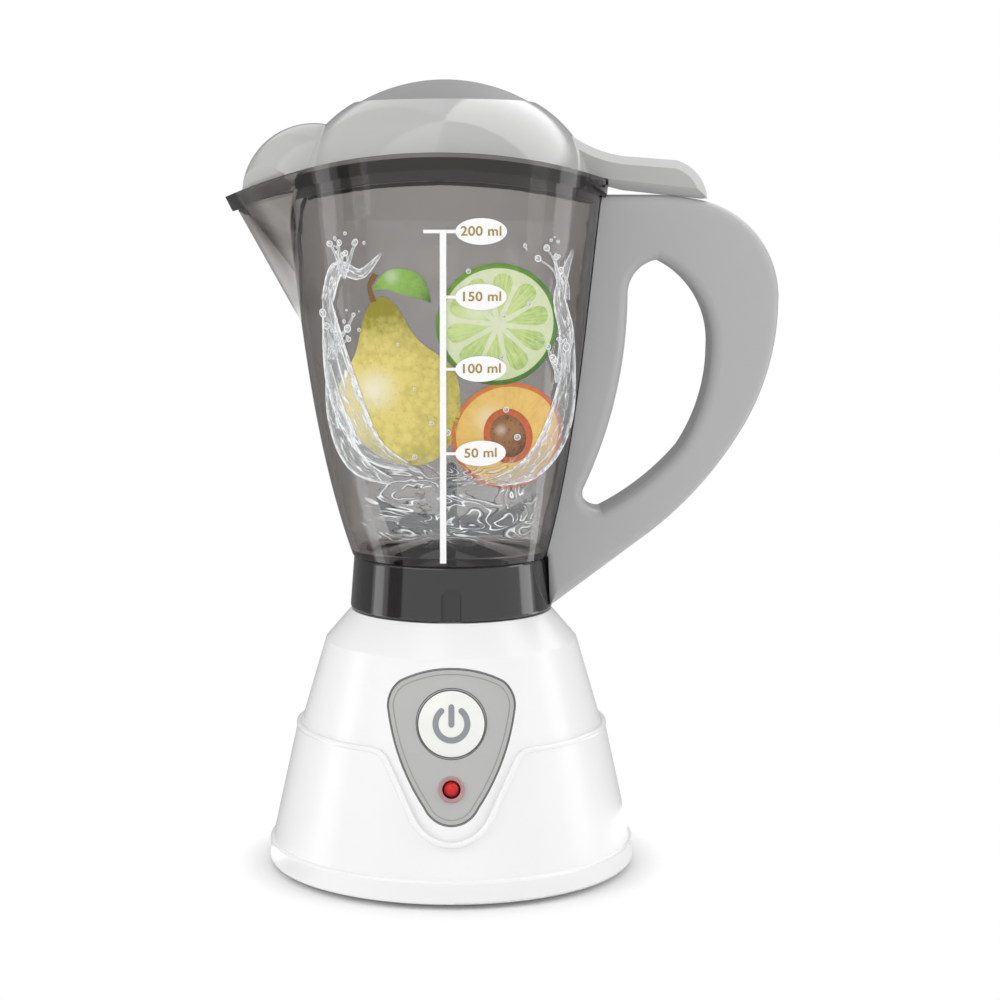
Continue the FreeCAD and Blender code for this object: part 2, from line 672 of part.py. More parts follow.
def skin(name, outside, inside, low, high):
    """Layer of revolution that follows the upper shell, from depth outside to depth inside."""
    seam = S.seam_height
    return turned_body(name, [
        (flank(low) - S.seam_inset - inside, low),
        (flank(low) - S.seam_inset - outside, low),
        (upper_flank(seam) - outside, seam),
        (upper_flank(high) - outside, high),
        (upper_flank(high) - inside, high),
        (upper_flank(seam) - inside, seam),
    ])


# ------------------------------------------------------------------ base: lower shell
def make_lower_shell():
    low, wall, edge = S.underside, S.housing_wall, S.band_edge
    inner = S.base_radius - wall
    ledge_top, cone_foot = plate_top + wall, plate_top + 2 * wall
    shell = turned_body("lower_form", [
        (inner, low),
        (S.base_radius - edge, low),
        (S.base_radius, low + edge, edge),
        (S.base_radius, S.band_height - edge),
        (S.base_radius - edge, S.band_height, edge),
        (S.seam_radius, S.seam_height),
        (S.seam_radius - wall, S.seam_height),
        (flank(cone_foot) - wall, cone_foot),
        (inner - S.ledge, ledge_top),
        (inner - S.ledge, plate_top),
        (inner, plate_top),
    ])
    finished("lower_shell", cut("lower_notched", shell, notch("notch_cutter", 0, S.seam_height + wall)))


# ------------------------------------------------------------------ base: upper shell, panel seat and posts
def upper_cone():
    wall, seam, spigot = S.upper_wall, S.seam_height, S.seam_radius - S.housing_wall - S.clearance
    roof, edge = S.boss_height - wall, S.band_edge
    return turned_body("upper_form", [
        (upper_flank(seam), seam),
        (S.shoulder_radius, S.shoulder_height),
        (S.neck_radius, S.neck_height),
        (S.boss_radius, S.neck_height),
        (S.boss_radius, S.boss_height - edge),
        (S.boss_radius - edge, S.boss_height, edge),
        (S.bush_radius, S.boss_height),
        (S.bush_radius, bush_end),
        (S.bush_radius + wall, bush_end),
        (S.bush_radius + wall, roof),
        (S.boss_radius - wall, roof),
        (S.boss_radius - wall, S.neck_height - wall),
        (S.neck_radius - wall, S.neck_height - wall),
        (S.shoulder_radius - wall, S.shoulder_height - edge),
        (spigot - wall, seam),
        (spigot - wall, seam - S.nest_depth),
        (spigot, seam - S.nest_depth),
        (spigot, seam),
    ])


def upper_filled():
    """The room inside the upper shell, up to the middle of its wall: it trims the posts."""
    half, spigot = S.upper_wall / 2, S.seam_radius - S.housing_wall - S.clearance
    low = S.tongue_bottom
    return turned_body("upper_filled", [
        (0, plate_top),
        (spigot, plate_top),
        (flank(low) - S.seam_inset - half, low),
        (upper_flank(S.seam_height) - half, S.seam_height),
        (S.shoulder_radius - half, S.shoulder_height),
        (S.neck_radius - half, S.neck_height - half),
        (0, S.neck_height - half),
    ])


def board_corners():
    """Sideways place and place up the panel of the circuit board's four posts."""
    inset = S.board_inset
    wide, narrow = S.board_width / 2 - inset, S.board_low_half
    high, low = S.board_above - inset, inset - S.board_below
    return [(wide, high), (-wide, high), (-narrow, low), (narrow, low)]


def make_upper_shell():
    wall = S.upper_wall
    posts, bores = [], []
    for number, (x, y) in enumerate(around(S.post_circle, CORNERS), start=1):
        posts.append(cylinder("housing_post_%d" % number, S.post_radius, plate_top, S.shoulder_height, x,
                              y))
        bores.append(cylinder("post_bore_%d" % number, S.screw_radius, plate_top, plate_top + S.screw_bite,
                              x, y))
    for number, (x, y) in enumerate(around(S.carrier_circle, CARRIER_SCREWS), start=1):
        top = carrier_top + S.screw_bite / 2
        posts.append(cylinder("carrier_post_%d" % number, S.post_radius, carrier_top, S.neck_height, x, y))
        bores.append(cylinder("carrier_bore_%d" % number, S.screw_radius, carrier_top, top, x, y))
    for number, (x, up) in enumerate(board_corners(), start=1):
        name, depth = "board_post_%d" % number, S.board_depth
        posts.append(front_rod(name, S.button_height, S.board_post_radius, 0, depth, x, up))
        bite = -(depth - S.board_screw_bite)
        bores.append(front_rod(name + "_bore", S.button_height, S.board_screw_radius, bite, depth, x, up))
    tongue = common("tongue", skin("tongue_skin", 0, wall, S.tongue_bottom - wall, S.seam_height + wall),
                    notch("tongue_prism", -S.clearance, S.seam_height + wall))
    trimmed = common("posts_trimmed", fuse("posts", *posts), upper_filled())
    seat = common("panel_seat", skin("seat_skin", -wall, S.panel_sink + S.panel_thickness, S.tongue_bottom,
                                     S.shoulder_height), panel_prism("seat_prism", S.snug))
    bores.append(seat)
    for name, height, radius in (("button_way", S.button_height, S.button_radius + S.clearance),
                                 ("lamp_way", S.lamp_height, S.lamp_ring_radius + S.snug)):
        bores.append(front_rod(name, height, radius, wall, S.flange_depth))
    flange_end = S.flange_depth + S.flange_thickness + S.button_travel + S.clearance
    bores.append(front_rod("flange_way", S.button_height, S.button_flange + S.clearance,
                           S.snug - S.flange_depth, flange_end))
    whole = fuse("upper_whole", upper_cone(), tongue, trimmed)
    finished("upper_shell", cut("upper_cut", whole, *bores))


# ------------------------------------------------------------------ base: underside
def make_base_plate():
    low, depth = S.underside, S.door_thickness
    half_length, half_width = S.bay_length / 2, S.bay_width / 2
    lap, wall = S.door_lap, S.bay_wall
    ear_y = -(half_width + S.ear_radius)
    disc = cylinder("plate_disc", S.base_radius - S.housing_wall - S.snug, low, plate_top)
    bay = box("bay_block", -(half_length + wall), half_length + wall, -(half_width + wall),
              half_width + wall,
              low, bay_roof + wall)
    seat = cylinder("motor_seat_ring", S.motor_seat_radius, bay_roof, motor_foot, 0,
                    S.motor_offset * S.seat_share)
    ear = cylinder("door_screw_boss", S.post_radius, low, plate_top + S.screw_bite / 2, 0, ear_y)
    whole = fuse("plate_whole", disc, bay, seat, ear)
    tools = [
        box("bay_room", -half_length, half_length, -half_width, half_width, low, bay_roof),
        box("door_rebate", -(half_length + lap), half_length + lap, -(half_width + lap), half_width + lap,
            low, low + depth),
        cylinder("door_ear_rebate", S.ear_radius + S.snug, low, low + depth, 0, ear_y),
        cylinder("door_screw_bore", S.board_screw_radius, low, plate_top + S.screw_bite / 3, 0, ear_y),
    ]
    for name, degrees in FEET:
        x, y = turned(foot_circle, degrees)
        tools.append(cylinder("foot_seat_" + name, S.foot_radius, low, low + S.foot_sink, x, y))
    for number, (x, y) in enumerate(around(S.post_circle, CORNERS), start=1):
        head = S.screw_head_radius + S.snug
        tools.append(cylinder("plate_hole_%d" % number, S.screw_radius + S.snug, low, plate_top, x, y))
        tools.append(cylinder("plate_sink_%d" % number, head, low, low + S.screw_head_height, x, y))
    finished("base_plate", cut("plate_cut", whole, *tools))


def make_battery_door():
    low, depth, gap = S.underside, S.door_thickness, S.snug
    half_length, half_width = S.bay_length / 2 + S.door_lap - gap, S.bay_width / 2 + S.door_lap - gap
    ear_y = -(S.bay_width / 2 + S.ear_radius)
    slab = box("door_slab", -half_length, half_length, -half_width, half_width, low, low + depth)
    ear = cylinder("door_ear", S.ear_radius, low, low + depth, 0, ear_y)
    hole = cylinder("door_hole", S.board_screw_radius + gap, low, low + depth, 0, ear_y)
    sink = cylinder("door_sink", S.small_head_radius + gap, low, low + S.small_head_height, 0, ear_y)
    ribs = [box("door_rib_%d" % number, x - 0.6, x + 0.6, -half_width + S.bay_wall + S.door_lap,
                half_width - S.bay_wall - S.door_lap, low + depth, low + depth + S.snug)
            for number, x in enumerate((-S.bay_length / 4, S.bay_length / 4), start=1)]
    finished("battery_door", cut("door_cut", fuse("door_whole", slab, ear, *ribs), hole, sink))
    screw = screw_form("door_screw", S.board_screw_radius, S.small_head_radius, S.small_head_height,
                       low, plate_top + S.screw_bite / 3)
    finished("battery_door_screw", place(screw, 0, ear_y, low))


def screw_form(name, shank, head, head_height, low, high):
    """Screw with its head down, standing on its own origin, with a cross recess in the head."""
    body = turned_body(name, [
        (0, 0),
        (head, 0),
        (head, head_height),
        (shank, head_height),
        (shank, high - low - shank),
        (0, high - low),
    ])
    sketch = outline(new_sketch(body, name + "_slot", "XY_Plane"),
                     rectangle(-head * 0.6, head * 0.6, -shank / 4, shank / 4))
    feature(body, "Pocket", name + "_recess", sketch, Length=head_height / 2, Reversed=True)
    return body


def make_base_screws():
    screws = []
    for number, (x, y) in enumerate(around(S.post_circle, CORNERS), start=1):
        screw = screw_form("base_screw_%d" % number, S.screw_radius, S.screw_head_radius,
                           S.screw_head_height,
                           S.underside, plate_top + S.screw_bite)
        screws.append(place(screw, x, y, S.underside))
    finished("base_screws", group("base_screw_group", *screws))


def make_feet():
    edge = S.foot_edge
    for name, degrees in FEET:
        x, y = turned(foot_circle, degrees)
        foot = turned_body("foot_form_" + name, [
            (0, 0),
            (S.foot_radius - edge, 0),
            (S.foot_radius, edge, edge),
            (S.foot_radius, S.underside + S.foot_sink),
            (0, S.underside + S.foot_sink),
        ])
        finished("foot_" + name, place(foot, x, y, 0))


# ------------------------------------------------------------------ base: batteries and their contacts
def make_batteries():
    half = S.cell_length / 2
    for number, side in ((1, 1), (2, -1)):
        cell = turned_body("cell_form_%d" % number, [
            (0, -half),
            (S.cell_radius - S.cell_edge, -half),
            (S.cell_radius, S.cell_edge - half, S.cell_edge),
            (S.cell_radius, half - S.cell_edge),
            (S.cell_radius - S.cell_edge, half, S.cell_edge),
            (S.nub_radius, half),
            (S.nub_radius, half + S.nub_length),
            (0, half + S.nub_length),
        ])
        cell.Placement = FreeCAD.Placement(FreeCAD.Vector(),
                                           FreeCAD.Rotation(FreeCAD.Vector(0, side, 0), 90))
        finished("battery_cell_%d" % number, place(cell, 0, side * S.cell_pitch / 2, cell_axis_z))


def make_contacts():
    """Flat strips at the nubs, and a strip with two springs' seats at the other end of each cell."""
    thick, end = S.contact_thickness, S.bay_length / 2
    tall, wide = S.cell_radius, S.cell_radius * 0.8
    for label, side in (("contact_right", 1), ("contact_left", -1)):
        pieces = []
        outer = end - S.snug
        lanes = (S.cell_pitch / 2, -S.cell_pitch / 2)
        for number, lane in enumerate(lanes, start=1):
            low_x, high_x = (outer - thick, outer) if side > 0 else (-outer, thick - outer)
            strip = box("%s_strip_%d" % (label, number), low_x, high_x, lane - wide / 2 - 1,
                        lane + wide / 2 + 1,
                        cell_axis_z - tall * 0.7, cell_axis_z + tall * 0.7)
            nub_here = (number == 1) == (side > 0)
            reach = S.cell_length / 2 + (S.nub_length if nub_here else 0)
            bump = turned_body("%s_bump_%d" % (label, number), [
                (0, 0),
                (S.nub_radius * (0.8 if nub_here else 1.5), 0),
                (S.nub_radius * (0.5 if nub_here else 0.9), outer - thick - reach - S.contact_gap),
                (0, outer - thick - reach - S.contact_gap),
            ])
            bump.Placement = FreeCAD.Placement(FreeCAD.Vector(),
                                               FreeCAD.Rotation(FreeCAD.Vector(0, -side, 0), 90))
            place(bump, (outer - thick) * side, lane, cell_axis_z)
            pieces += [strip, bump]
        if side < 0:
            pieces.append(box(label + "_bridge", -outer, thick - outer, -S.cell_pitch / 2, S.cell_pitch / 2,
                              cell_axis_z - 1, cell_axis_z + 1))
            finished(label, fuse(label + "_whole", *pieces))
        else:
            finished(label, group(label + "_pair", fuse(label + "_upper", *pieces[:2]),
                                  fuse(label + "_lower", *pieces[2:])))


# ------------------------------------------------------------------ base: control panel, button, lamp and board
def make_control_panel():
    layer = skin("panel_skin", S.panel_sink, S.panel_sink + S.panel_thickness, S.tongue_bottom,
                 S.shoulder_height)
    blank = common("panel_blank", layer, panel_prism("panel_form", 0))
    button_hole = front_rod("panel_button_hole", S.button_height, S.button_radius + S.clearance, 2,
                            S.board_depth)
    lamp_hole = front_rod("panel_lamp_hole", S.lamp_height, S.lamp_ring_radius, 2, S.board_depth)
    finished("control_panel", cut("panel_cut", blank, button_hole, lamp_hole))


def make_button():
    rim = S.button_proud - (S.button_crown - root_of(S.button_crown * S.button_crown - S.button_radius * S.button_radius))
    flange_foot = S.flange_depth + S.flange_thickness
    stem = 1.3 * S.plunger_radius
    button = turned_body("button_form", [
        (0, -S.stem_depth),
        (stem, -S.stem_depth),
        (stem, -flange_foot),
        (S.button_flange, -flange_foot),
        (S.button_flange, -S.flange_depth),
        (S.button_radius, -S.flange_depth),
        (S.button_radius, rim),
        (0, S.button_proud, S.button_crown),
    ])
    finished("power_button", on_panel(button, S.button_height))
    top = S.board_depth - S.switch_height
    plunger = doc.addObject("Part::Cylinder", "plunger_form")
    bind(plunger, "Radius", S.plunger_radius)
    reach = top + S.plunger_reach
    bind(plunger, "Height", reach - S.stem_depth)
    finished("switch_plunger", on_panel(plunger, S.button_height, reach))
    half = S.switch_size / 2
    case = block_body("switch_case", "XY_Plane", rectangle(-half, half, -half, half), S.switch_height)
    well = new_sketch(case, "switch_well_outline", "XY_Plane", S.switch_height)
    ring(well, S.plunger_radius + S.snug)
    feature(case, "Pocket", "switch_well", well, Length=S.plunger_reach + S.button_travel + S.clearance)
    finished("tact_switch", on_panel(case, S.button_height, S.board_depth))


def make_lamp():
    lamp, skirt = S.lamp_radius, S.lamp_radius + S.snug * 3
    seat = lamp_board_depth() / 2
    dome = turned_body("lamp_dome", [
        (0, -seat),
        (skirt, -seat),
        (skirt, -seat + S.flange_thickness),
        (lamp, -seat + S.flange_thickness),
        (lamp, S.lamp_proud - lamp),
        (0, S.lamp_proud, lamp),
    ])
    leads = []
    for number, x in enumerate((-lamp / 2, lamp / 2), start=1):
        leads.append(front_rod("lamp_lead_%d" % number, S.lamp_height, S.lead_radius, -seat,
                               lamp_board_depth(), x))
    on_panel(dome, S.lamp_height)
    finished("indicator_lamp", fuse("lamp_whole", dome, *leads))
    collar = turned_body("lamp_collar", [
        (lamp + S.running_gap, -S.flange_depth + S.flange_thickness),
        (S.lamp_ring_radius, -S.flange_depth + S.flange_thickness),
        (S.lamp_ring_radius, S.panel_sink),
        (S.lamp_ring_radius - S.panel_sink, 2 * S.panel_sink),
        (lamp + S.running_gap, S.panel_sink),
    ])
    finished("lamp_ring", on_panel(collar, S.lamp_height))


def make_circuit_board():
    half, depth = S.board_width / 2, S.board_depth + S.board_thickness
    low_half = S.board_low_half + S.board_inset
    corners = [(-half, S.board_above), (-half, -S.switch_size), (-low_half, -S.board_below * 0.6),
               (-low_half, -S.board_below), (low_half, -S.board_below), (low_half, -S.board_below * 0.6),
               (half, -S.switch_size), (half, S.board_above)]
    board = block_body("board_form", "XY_Plane", corners, S.board_thickness)
    holes = new_sketch(board, "board_holes_outline", "XY_Plane", S.board_thickness)
    for x, up in board_corners():
        ring(holes, S.board_screw_radius + S.snug, x, up)
    feature(board, "Pocket", "board_holes", holes, Length=S.board_thickness)
    finished("circuit_board", on_panel(board, S.button_height, depth))
    screws = []
    for number, (x, up) in enumerate(board_corners(), start=1):
        high = S.small_head_height + S.board_thickness + S.board_screw_bite
        screw = screw_form("board_screw_%d" % number, S.board_screw_radius, S.small_head_radius,
                           S.small_head_height, 0, high)
        screws.append(on_panel(screw, S.button_height, depth + S.small_head_height, x, up))
    finished("board_screws", group("board_screw_group", *screws))


# ------------------------------------------------------------------ base: motor and gears
def make_motor():
    y = S.motor_offset
    bore = cylinder("can_bore", S.motor_shaft_radius + S.running_gap, S.motor_cap_top, S.boss_height, 0, y)
    flats = box("can_flats", -S.motor_radius, S.motor_radius, y - S.motor_flat, y + S.motor_flat,
                motor_foot, S.motor_top)
    can = common("can_flat_form", cylinder("can_round", S.motor_radius, S.motor_cap_top, S.motor_top, 0, y),
                 flats)
    bearing = cylinder("can_bearing", S.motor_bearing_radius, S.motor_top,
                       S.motor_top + S.carrier_thickness * 0.8, 0, y)
    finished("motor_can", cut("can_cut", fuse("can_whole", can, bearing), bore))
    cap_flats = box("cap_flats", -S.motor_radius, S.motor_radius, y - S.motor_flat, y + S.motor_flat,
                    motor_foot, S.motor_cap_top)
    plug = cylinder("cap_round", S.motor_radius - S.snug, motor_foot, S.motor_cap_top, 0, y)
    tags = [box("motor_tag_%d" % number, x - 1, x + 1, y - S.motor_flat - 2, y - S.motor_flat,
                motor_foot + 1, motor_foot + 1.5)
            for number, x in enumerate((as_size(-5), as_size(5)), start=1)]
    finished("motor_end_cap", fuse("cap_whole", common("cap_form", plug, cap_flats), *tags))
    finished("motor_shaft", cylinder("motor_shaft_form", S.motor_shaft_radius, S.motor_cap_top + 1,
                                     S.gear_bottom + S.gear_width + 1, 0, y))


def make_gear_carrier():
    low, front = S.motor_top, S.carrier_front
    disc = cylinder("carrier_disc", S.carrier_radius, low, carrier_top)
    keep = box("carrier_keep", -S.carrier_radius, S.carrier_radius, -front, S.carrier_radius, low,
               carrier_top)
    wall, gap, grip = S.housing_wall, S.snug, S.carrier_grip
    jaws = []
    for number, side in enumerate((-1, 1), start=1):
        inner = S.motor_offset + side * (S.motor_flat + gap)
        lows, highs = (inner - wall, inner) if side < 0 else (inner, inner + wall)
        jaws.append(box("carrier_jaw_%d" % number, -S.motor_radius / 2, S.motor_radius / 2, lows, highs,
                        low - grip, low))
    bush_boss = cylinder("carrier_boss", S.bush_radius + wall,
                         low - S.lower_bush_length + S.carrier_thickness, low)
    tools = [cylinder("carrier_bush_hole", S.bush_radius, low - grip, carrier_top),
             cylinder("carrier_motor_hole", S.motor_bearing_radius + gap, low - 1, carrier_top, 0,
                      S.motor_offset)]
    for number, (x, y) in enumerate(around(S.carrier_circle, CARRIER_SCREWS), start=1):
        tools.append(cylinder("carrier_hole_%d" % number, S.screw_radius + gap, low, carrier_top, x, y))
    whole = fuse("carrier_whole", common("carrier_plate", disc, keep), bush_boss, *jaws)
    finished("gear_carrier", cut("carrier_cut", whole, *tools))
    screws = []
    for number, (x, y) in enumerate(around(S.carrier_circle, CARRIER_SCREWS), start=1):
        foot = low - S.screw_head_height
        screw = screw_form("carrier_screw_%d" % number, S.screw_radius, S.screw_head_radius,
                           S.screw_head_height, foot, carrier_top + S.screw_bite / 2)
        screws.append(place(screw, x, y, foot))
    finished("carrier_screws", group("carrier_screw_group", *screws))


def sleeve(name, outer, inner, low, high):
    return turned_body(name, [(inner, low), (outer, low), (outer, high), (inner, high)])


def make_bushes():
    bore = S.shaft_radius + S.running_gap
    low = S.motor_top - S.lower_bush_length + S.carrier_thickness
    upper = sleeve("upper_bush", S.bush_radius, bore, bush_end, S.boss_height)
    lower = sleeve("lower_bush", S.bush_radius, bore, low, carrier_top)
    finished("shaft_bushes", group("bush_pair", upper, lower))


def toothed_wheel(name, teeth, width, bore):
    """Spur gear on its own origin, with its first tooth on +X."""
    tooth = S.gear_module
    pitch = tooth * teeth / 2
    root, tip = pitch - 1.25 * tooth, pitch + 0.92 * tooth
    body = new_body(name)
    disc = ring(new_sketch(body, name + "_disc", "XY_Plane"), root)
    feature(body, "Pad", name + "_blank", disc, Length=width)
    deep = root - tooth / 2
    flank_root, flank_tip = S.tooth_root * tooth, S.tooth_tip * tooth
    corners = [(deep, -flank_root), (root, -flank_root), (pitch, -S.tooth_middle * tooth),
               (tip, -flank_tip),
               (tip, flank_tip), (pitch, S.tooth_middle * tooth), (root, flank_root), (deep, flank_root)]
    sketch = outline(new_sketch(body, name + "_tooth", "XY_Plane"), corners)
    one = feature(body, "Pad", name + "_tooth_pad", sketch, Length=width)
    doc.recompute()
    pattern = body.newObject("PartDesign::PolarPattern", name + "_teeth")
    pattern.Originals = [one]
    pattern.Axis = (sketch, ["N_Axis"])
    pattern.Angle = 360
    pattern.Occurrences = int(teeth.value)
    pattern.setExpression("Occurrences", teeth.text)
    body.Tip = pattern
    doc.recompute()
    hole = ring(new_sketch(body, name + "_bore_outline", "XY_Plane"), bore)
    feature(body, "Pocket", name + "_bore", hole, Length=width, Reversed=True)
    return body


def make_gears():
    low = S.gear_bottom
    wheel = toothed_wheel("gear_form", S.gear_teeth, S.gear_width, S.shaft_radius)
    place(wheel, 0, 0, low)
    hub = sleeve("gear_hub", S.gear_hub_radius, S.shaft_radius, low, bush_end - S.clearance)
    windows = [cylinder("gear_window_%d" % number, S.gear_window, low, low + S.gear_width, x, y)
               for number, (x, y) in enumerate(around(S.gear_window_circle, range(0, 360, 60)), start=1)]
    finished("drive_gear", fuse("gear_whole", cut("gear_cut", wheel, *windows), hub))
    pinion = toothed_wheel("pinion_form", S.pinion_teeth, S.gear_width + 2 * S.clearance,
                           S.motor_shaft_radius)
    spin(pinion, (0, 0, 1), as_size(180) / S.pinion_teeth)
    finished("motor_pinion", place(pinion, 0, S.motor_offset, low - S.clearance))


def lobed_prism(name, grow, height):
    """Six-lobed dog, larger all round by grow."""
    body = new_body(name)
    feature(body, "Pad", name + "_core", ring(new_sketch(body, name + "_disc", "XY_Plane"),
                                              S.dog_core + grow),
            Length=height)
    half, reach = S.dog_half + grow, S.dog_radius + grow
    sketch = outline(new_sketch(body, name + "_lobe", "XY_Plane"), rectangle(0, reach, -half, half))
    one = feature(body, "Pad", name + "_lobe_pad", sketch, Length=height)
    doc.recompute()
    pattern = body.newObject("PartDesign::PolarPattern", name + "_lobes")
    pattern.Originals = [one]
    pattern.Axis = (sketch, ["N_Axis"])
    pattern.Angle = 360
    pattern.Occurrences = 6
    body.Tip = pattern
    return body


def make_couplings():
    shaft_top = coupling_top - S.clearance
    finished("drive_shaft", cylinder("drive_shaft_form", S.shaft_radius, S.motor_top - S.lower_bush_length,
                                     shaft_top))
    dog = place(lobed_prism("dog_form", 0, S.dog_height), 0, 0, coupling_bottom)
    bore = cylinder("dog_bore", S.shaft_radius, coupling_bottom, shaft_top)
    finished("drive_coupling", cut("dog_cut", dog, bore))
    cup = cylinder("cup_form", S.cup_radius, cup_bottom, cup_top)
    socket = place(lobed_prism("socket_form", S.clearance + S.running_gap, cup_roof - cup_bottom), 0, 0,
                   cup_bottom)
    hole = cylinder("cup_bore", S.shaft_radius, cup_roof, cup_top)
    finished("driven_coupling", cut("cup_cut", cup, socket, hole))


# ------------------------------------------------------------------ jug
JUG_SECTIONS = (
    (S.collar_top, S.jug_foot_radius, as_size(0)),
    (S.jug_low_z, S.jug_low_radius, S.jug_low_x),
    (S.jug_mid_z, S.jug_mid_radius, S.jug_mid_x),
    (S.jug_top_z, S.jug_top_radius, S.jug_top_x),
)
SPOUT_SECTIONS = (
    (S.spout_start_z, S.spout_start_angle),
    (S.spout_low_z, S.spout_low_angle),
    (S.spout_mid_z, S.spout_mid_angle),
    (S.spout_high_z, S.spout_high_angle),
    (S.spout_top_z, S.spout_top_angle),
)


def loft_body(name, sketches):
    body = sketches[0].getParentGeoFeatureGroup()
    loft = body.newObject("PartDesign::AdditiveLoft", name + "_loft")
    loft.Profile = sketches[0]
    loft.Sections = sketches[1:]
    return body


def jug_cone(name, grow):
    """The jug's round body as a solid, larger by grow: its centre drifts to the spout as it rises."""
    body = new_body(name)
    sketches = []
    for number, (height, radius, x) in enumerate(JUG_SECTIONS, start=1):
        sketches.append(ring(new_sketch(body, "%s_ring_%d" % (name, number), "XY_Plane", height),
                             radius + grow, x))
    return loft_body(name, sketches)


def spout_wedge(name, grow):
    """The spout as a solid wedge with a sharp keel, larger by grow."""
    body = new_body(name)
    sketches = []
    sections = list(SPOUT_SECTIONS)
    if grow.value < 0:
        sections[0] = (S.spout_bay_z, S.spout_bay_angle)
    for number, (height, angle) in enumerate(sections, start=1):
        keel = S.spout_foot_x - S.spout_slope * (height - S.spout_foot_z)
        half = (S.spout_root_x - keel) * tangent(angle) + grow / cosine(angle)
        corners = [(S.spout_root_x, half), (keel - grow / sine(angle), 0), (S.spout_root_x, -half)]
        sketches.append(outline(new_sketch(body, "%s_wedge_%d" % (name, number), "XY_Plane", height),
                                corners))
    return loft_body(name, sketches)


def above_rim(name, drop):
    """Everything above the rim's arch, lowered by drop."""
    reach, radius = S.rim_half_span, S.rim_arch - drop
    end = S.rim_crown - S.rim_arch + root_of(radius * radius - reach * reach)
    left, right = S.rim_crown_x - reach, S.rim_crown_x + reach
    top = S.rim_crown + S.rim_half_span
    corners = [(left, end), (right, end, -radius), (right, top), (left, top)]
    return block_body(name, "XZ_Plane", corners, 2 * S.rim_half_span, midplane=True)


def make_jug_body():
    none, wall = as_size(0), S.jug_wall
    above = above_rim("rim_cutter", none)
    outer = cut("jug_outer", fuse("jug_form", jug_cone("jug_cone_outer", none),
                                  spout_wedge("spout_outer", none)), above)
    proud = fuse("lip_form", jug_cone("jug_cone_lip", S.lip_proud), spout_wedge("spout_lip", S.lip_proud))
    lip = common("lip_band", proud, cut("lip_slab", above_rim("lip_floor", S.lip_height), above))
    inner = fuse("jug_inner", jug_cone("jug_cone_inner", -wall), spout_wedge("spout_inner", -wall))
    room = cut("jug_room", inner, cylinder("jug_low_floor", S.jug_top_radius, S.collar_top - wall,
                                           S.collar_top + wall))
    walls = cut("jug_walls", fuse("jug_solid", outer, lip), room)
    bore, lug = S.hump_radius + S.clearance, S.lug_half
    neck = sleeve("jug_neck", S.jug_neck_radius, bore, jug_bottom, S.collar_top + wall)
    lugs = fuse("lug_blocks", box("upper_lug", 0, S.upper_lug_x, -lug, lug, S.upper_lug_z,
                                  S.upper_lug_z + S.lug_height),
                box("lower_lug", 0, S.lower_lug_x, -lug, lug, S.lower_lug_z, S.lower_lug_z + S.lug_height))
    trimmed = cut("lugs", lugs, jug_cone("lug_trim", -wall / 2))
    throat = cylinder("jug_throat", bore, jug_bottom, S.collar_top + 2 * wall)
    finished("jug_body", cut("jug_cut", fuse("jug_whole", walls, neck, trimmed), throat))


def make_jug_collar():
    wall, low = S.jug_wall, S.collar_bottom
    socket = S.boss_radius + S.clearance
    web_low = S.floor_bottom - wall
    inner = S.jug_neck_radius + S.snug
    edge = S.band_edge
    collar = turned_body("collar_form", [
        (socket, low),
        (S.collar_radius - edge, low),
        (S.collar_radius, low + edge, edge),
        (S.collar_top_radius, S.collar_top - edge),
        (S.collar_top_radius - edge / 2, S.collar_top),
        (inner, S.collar_top),
        (inner, S.floor_bottom),
        (S.web_radius, S.floor_bottom),
        (S.web_radius, web_low),
        (socket, web_low),
    ])
    half = S.collar_slot_width / 2
    arch_z = S.collar_slot_top - half
    corners = [(-half, low - 1), (half, low - 1), (half, arch_z), (-half, arch_z, 1.05 * half)]
    prism = block_body("slot_prism", "XZ_Plane", corners, 2 * S.collar_radius)
    core = cylinder("slot_core", S.collar_top_radius - S.collar_slot_depth, low - 1, S.collar_top)
    finished("jug_collar", cut("collar_cut", collar, cut("slot_form", prism, core)))


def make_jug_floor():
    bush, wall = S.bush_radius, S.floor_wall
    pocket = S.cup_radius + 2 * S.clearance
    pocket_top = cup_top + 2 * S.clearance
    hub = S.blade_hub_radius + wall
    floor = turned_body("floor_form", [
        (S.floor_radius, S.floor_bottom),
        (S.floor_radius, floor_deck),
        (S.hump_radius, floor_deck),
        (S.hump_radius, S.collar_top - wall),
        (S.hump_radius - wall, S.collar_top, wall),
        (hub, S.hump_height),
        (bush, S.hump_height),
        (bush, pocket_top),
        (pocket, pocket_top),
        (pocket, S.floor_bottom),
        (pocket + wall, S.floor_bottom),
        (pocket + wall, pocket_top),
        (S.hump_radius - wall, floor_deck + wall / 2),
        (S.hump_radius - wall, S.floor_bottom),
    ])
    finished("jug_floor", floor)
    finished("floor_seal", sleeve("seal_form", S.floor_radius, S.hump_radius, floor_deck, jug_bottom))
    bore = S.shaft_radius + S.running_gap
    finished("blade_bush", sleeve("blade_bush_form", bush, bore, pocket_top, S.hump_height))


def make_film():
    outer = jug_cone("film_outer", S.running_gap + S.film_thickness)
    inner = jug_cone("film_inner", S.running_gap)
    half = S.film_half_width
    window = box("film_window", -half, half, -S.jug_top_radius - 5, 0, S.film_low, S.film_high)
    finished("picture_film", common("film_cut", cut("film_layer", outer, inner), window))


